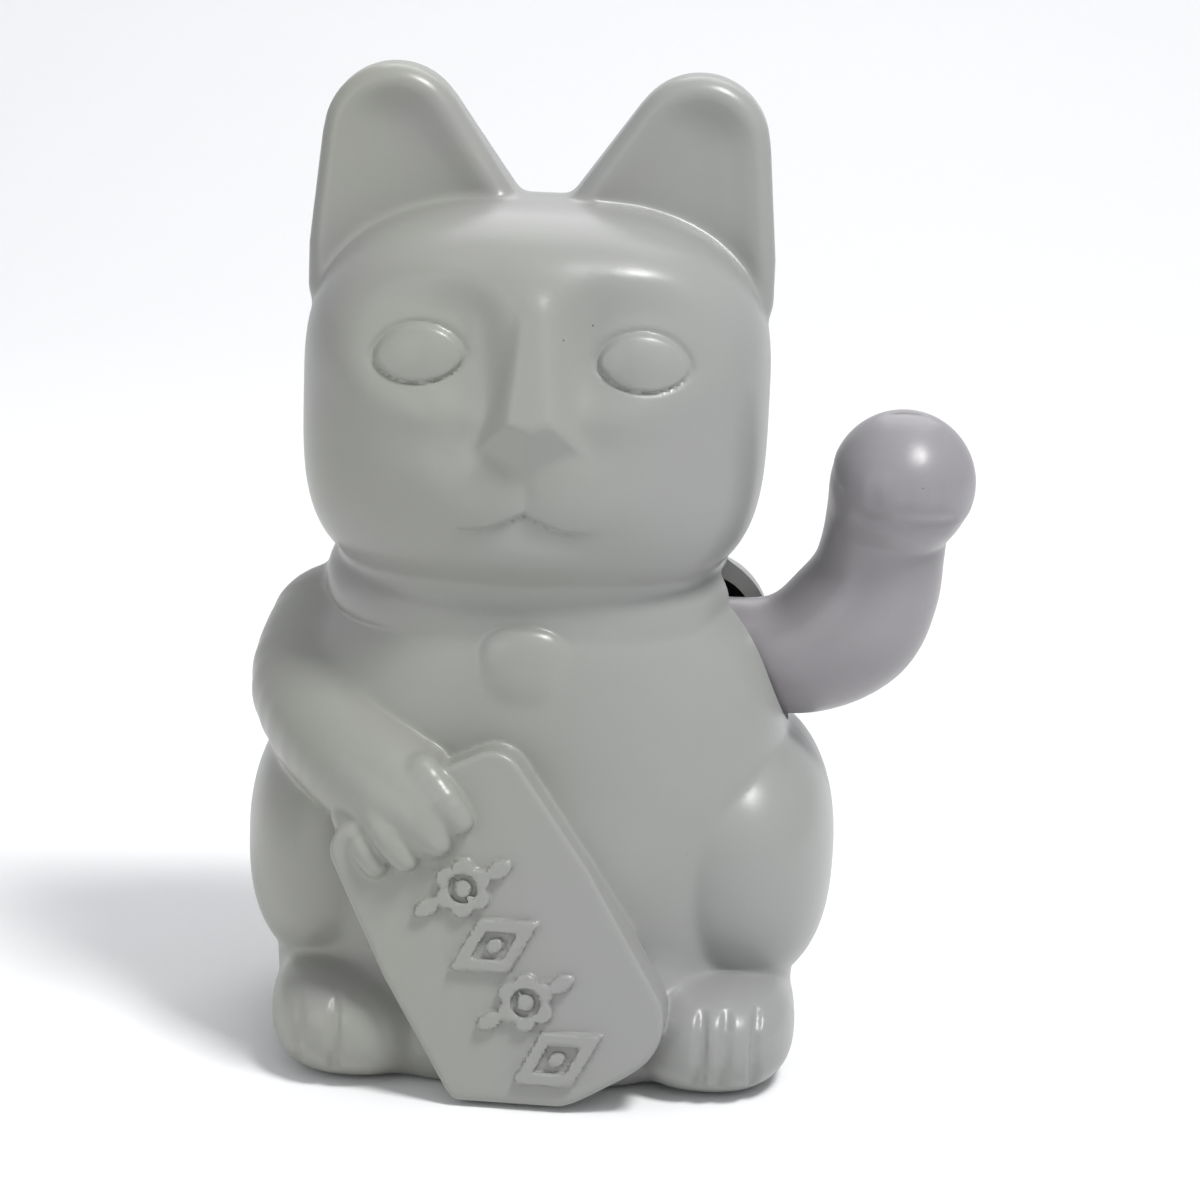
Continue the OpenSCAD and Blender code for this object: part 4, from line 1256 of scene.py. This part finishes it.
def sleeve_finish():
    """A blue shrink sleeve with a pale stripe down one side and an aluminium top."""
    low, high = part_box("capacitor")
    f = Finish("capacitor_sleeve", Specular_IOR_Level=0.5)
    z, x = f.axis("Z"), f.axis("X")
    top = z.between(high.z - 0.0009, high.z - 0.0007)
    stripe = x.between(high.x - 0.001, high.x - 0.0008)
    paint = f.mix(stripe, (0.02, 0.045, 0.16), (0.5, 0.52, 0.55))
    f.feed("Base Color", f.mix(top, paint, (0.7, 0.7, 0.7)))
    f.feed("Metallic", top * 1.0)
    f.feed("Roughness", 0.28 + 0.15 * f.noise(900))
    f.bump((f.noise(1200), 0.01))
    return f.material


def resistor_finish():
    """Tan lacquer with four coloured bands, and bright wire ends."""
    low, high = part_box("resistors")
    f = Finish("resistor_lacquer", Specular_IOR_Level=0.5)
    x = f.axis("X")
    middle = (low.x + high.x) / 2
    paint = f.noise(600).between(0.2, 0.9)
    body = f.mix(paint, (0.42, 0.27, 0.13), (0.5, 0.34, 0.18))
    bands = [(-1.6, (0.25, 0.08, 0.03)), (-0.7, (0.01, 0.01, 0.01)), (0.2, (0.5, 0.05, 0.02)),
             (1.5, (0.5, 0.36, 0.1))]
    for offset, color in bands:
        a = middle + offset * MM
        band = x.between(a - 0.00022, a - 0.00018) * x.between(a + 0.00022, a + 0.00018)
        body = f.mix(band, body, color)
    left, right = middle - 0.00235, middle + 0.00235
    wire = 1 - x.between(left, left + 0.00005) * x.between(right, right - 0.00005)
    f.feed("Base Color", f.mix(wire, body, (0.66, 0.65, 0.62)))
    f.feed("Metallic", wire * 1.0)
    f.feed("Roughness", 0.34 + 0.1 * paint)
    f.bump((f.noise(1500), 0.01))
    return f.material


dress("transistor", matt_moulding("transistor_black", (0.018, 0.018, 0.018), 0.012, 0.42))
dress("capacitor", sleeve_finish())
dress("resistors", resistor_finish())


def enamelled_copper():
    """Copper wire under clear enamel: deep orange where it is thick."""
    f = Finish("coil_copper", Metallic=1.0, Coat_Weight=0.7, Coat_Roughness=0.1)
    tone = f.noise(1100, 3.0).between(0.3, 0.75)
    f.feed("Base Color", f.mix(tone, (0.55, 0.2, 0.07), (0.74, 0.34, 0.14)))
    f.feed("Roughness", 0.2 + 0.12 * tone)
    f.bump((f.noise(2500), 0.004))
    return f.material


coil_low, coil_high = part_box("drive_coil")
WIRE_R = 0.2 * MM
WINDING_TURNS = 13
coil_height = coil_high.z - coil_low.z
rise = (coil_height - 2 * WIRE_R) / (WINDING_TURNS - 1)
radius = coil_high.x - WIRE_R
g = Grower("winding_tree", Turns=WINDING_TURNS, Wire=WIRE_R, Radius=radius, Rise=rise)
turns = g.node("GeometryNodeMeshLine", Count=g.size("Turns"), Offset=g.vector(z=g.size("Rise")))
stacked = g.node(
    "GeometryNodeSetPosition", Geometry=turns, Offset=(0, 0, coil_low.z + WIRE_R)
)
hoop = g.node("GeometryNodeCurvePrimitiveCircle", Resolution=64, Radius=g.size("Radius"))
section = g.node("GeometryNodeCurvePrimitiveCircle", Resolution=8, Radius=g.size("Wire"))
strand = g.node("GeometryNodeCurveToMesh", Curve=hoop, Profile_Curve=section)
layers = g.node("GeometryNodeInstanceOnPoints", Points=stacked, Instance=strand)
core = g.node(
    "GeometryNodeMeshCylinder",
    Vertices=64,
    Radius=g.maths("SUBTRACT", g.size("Radius"), 0.00005),
    Depth=coil_height * 0.98,
)
coil_mid_z = (coil_low.z + coil_high.z) / 2
core = g.node("GeometryNodeTransform", Geometry=core, Translation=(0, 0, coil_mid_z))
join = g.tree.nodes.new("GeometryNodeJoinGeometry")
g.tree.links.new(core, join.inputs[0])
g.tree.links.new(layers, join.inputs[0])
copper = enamelled_copper()
g.grow("drive_coil_winding", join.outputs[0], copper, "figure", "drive_coil", "copper_wire")

# ---------------------------------------------------------------------------------------------
# Leads: three thin insulated wires, red and black from the contacts and yellow from the switch,
# soldered at both ends and dressed round the stand clear of the swinging magnet.
# ---------------------------------------------------------------------------------------------


def insulation(name, base):
    """Soft PVC insulation, slightly dusty."""
    f = Finish(name, Specular_IOR_Level=0.45)
    dust = f.noise(800, 4.0).between(0.45, 0.8)
    f.feed("Base Color", f.mix(dust * 0.18, base, (0.4, 0.38, 0.36)))
    f.feed("Roughness", 0.38 + 0.25 * dust)
    f.bump((f.noise(1800), 0.015))
    return f.material


for node, color in (
    ("red_lead", (0.42, 0.02, 0.015)),
    ("black_lead", (0.015, 0.015, 0.015)),
    ("switch_lead", (0.58, 0.38, 0.03)),
):
    dress(node, insulation(node + "_pvc", color))

# ---------------------------------------------------------------------------------------------
# Switch: a pressed tinplate can on the plate and a black slider whose stem reaches through a
# slot, where a fingernail moves it.
# ---------------------------------------------------------------------------------------------
dress("switch_body", plated_steel("switch_tinplate", (0.66, 0.66, 0.65), 0.3, (5, 1, 1)))
dress("switch_slider", matt_moulding("slider_black", (0.015, 0.015, 0.015), 0.02, 0.4))

# ---------------------------------------------------------------------------------------------
# Swinging parts inside: a ground steel axle with two clips, the plug that the arm is clamped
# to, and a moulded lever that carries a steel slug and the nickel-plated drive magnet.
# ---------------------------------------------------------------------------------------------
dress("arm_hub", matt_moulding("hub_matt", (0.6, 0.6, 0.58), 0.012))
dress("pendulum_lever", matt_moulding("lever_matt", (0.63, 0.62, 0.58), 0.015))
dress("pivot_axle", turned_metal("axle_steel", (0.62, 0.62, 0.63), 0.18))
dress("axle_clips", plated_steel("clip_steel", (0.5, 0.5, 0.5), 0.3))
dress("hub_screw", plated_steel("hub_screw_zinc", (0.6, 0.6, 0.6), 0.3))
dress("counterweight", plated_steel("slug_steel", (0.5, 0.49, 0.48), 0.34, (1, 5, 5)))
dress("pendulum_magnet", plated_steel("magnet_nickel", (0.72, 0.71, 0.69), 0.12, (1, 1, 8)))
for pattern in (long_screw, short_screw):
    bpy.data.objects.remove(pattern)

# ---------------------------------------------------------------------------------------------
# Studio: a pale seamless floor, a soft key light high on the right, wide fill and back lights,
# and a long lens that looks down a little on the figure.
# ---------------------------------------------------------------------------------------------
scene = bpy.context.scene
scene.view_settings.view_transform = "Standard"
scene.world = bpy.data.worlds.new("studio")
scene.world.use_nodes = True
scene.world.node_tree.nodes["Background"].inputs["Color"].default_value = (0.93, 0.95, 1.0, 1)
scene.world.node_tree.nodes["Background"].inputs["Strength"].default_value = 0.55

FLOOR_HALF, BACK_Y, BACK_R, BACK_TOP = 2.4, 1.3, 0.7, 2.6
bm = bmesh.new()
sweep = [(-FLOOR_HALF, 0.0)]
for k in range(17):
    a = math.pi / 2 * k / 16
    sweep.append((BACK_Y - BACK_R + BACK_R * math.sin(a), BACK_R - BACK_R * math.cos(a)))
sweep.append((BACK_Y, BACK_TOP))
rows = [[bm.verts.new((x, y, z)) for x in (-FLOOR_HALF, FLOOR_HALF)] for y, z in sweep]
for a, b in zip(rows[:-1], rows[1:]):
    bm.faces.new((a[0], a[1], b[1], b[0]))
floor = moulded("floor", bm)
floor.data.shade_smooth()
paper = Finish("paper_sweep", Specular_IOR_Level=0.2, Roughness=0.85)
fibre = paper.noise(900, 4.0)
paper.feed("Base Color", paper.mix(fibre, (0.84, 0.84, 0.84), (0.87, 0.87, 0.87)))
floor.data.materials.append(paper.material)


def soft_light(name, at, aim, power, size, tint=(1, 1, 1)):
    lamp = bpy.data.lights.new(name, "AREA")
    lamp.energy = power
    lamp.size = size
    lamp.color = tint
    made = bpy.data.objects.new(name, lamp)
    scene.collection.objects.link(made)
    made.location = at
    made.rotation_mode = "QUATERNION"
    made.rotation_quaternion = (Vector(aim) - Vector(at)).to_track_quat("-Z", "Y")


CENTRE = (0, 0, 0.075)
soft_light("key", (0.36, -0.30, 0.9), CENTRE, 8.0, 0.22)
soft_light("fill", (-0.8, -0.9, 0.35), CENTRE, 3.2, 0.9)
soft_light("back", (0.1, 0.7, 0.9), CENTRE, 3.6, 0.8)

# The camera stands a little to the right and above, and is rolled two degrees.
DISTANCE, ELEVATION, YAW, ROLL = 0.6, 13.0, 2.5, 2.0
AIM_RIGHT, AIM_DOWN = 0.01042, 0.00686
e, w, r = (math.radians(v) for v in (ELEVATION, YAW, ROLL))
back = Vector((math.sin(w) * math.cos(e), -math.cos(w) * math.cos(e), math.sin(e)))
level = Vector((math.cos(w), math.sin(w), 0))
up = back.cross(level)
right = level * math.cos(r) + up * math.sin(r)
top = up * math.cos(r) - level * math.sin(r)
eye = Vector(CENTRE) + back * DISTANCE
aim = Vector(CENTRE) + right * AIM_RIGHT - top * AIM_DOWN
z_axis = (eye - aim).normalized()
x_axis = (right - z_axis * right.dot(z_axis)).normalized()
y_axis = z_axis.cross(x_axis)
lens = bpy.data.cameras.new("camera")
lens.sensor_width = 36
lens.lens = 116.4
lens.clip_start = 0.01
camera = bpy.data.objects.new("camera", lens)
scene.collection.objects.link(camera)
turn = Matrix((x_axis, y_axis, z_axis)).transposed()
camera.matrix_world = Matrix.Translation(eye) @ turn.to_4x4()
scene.camera = camera
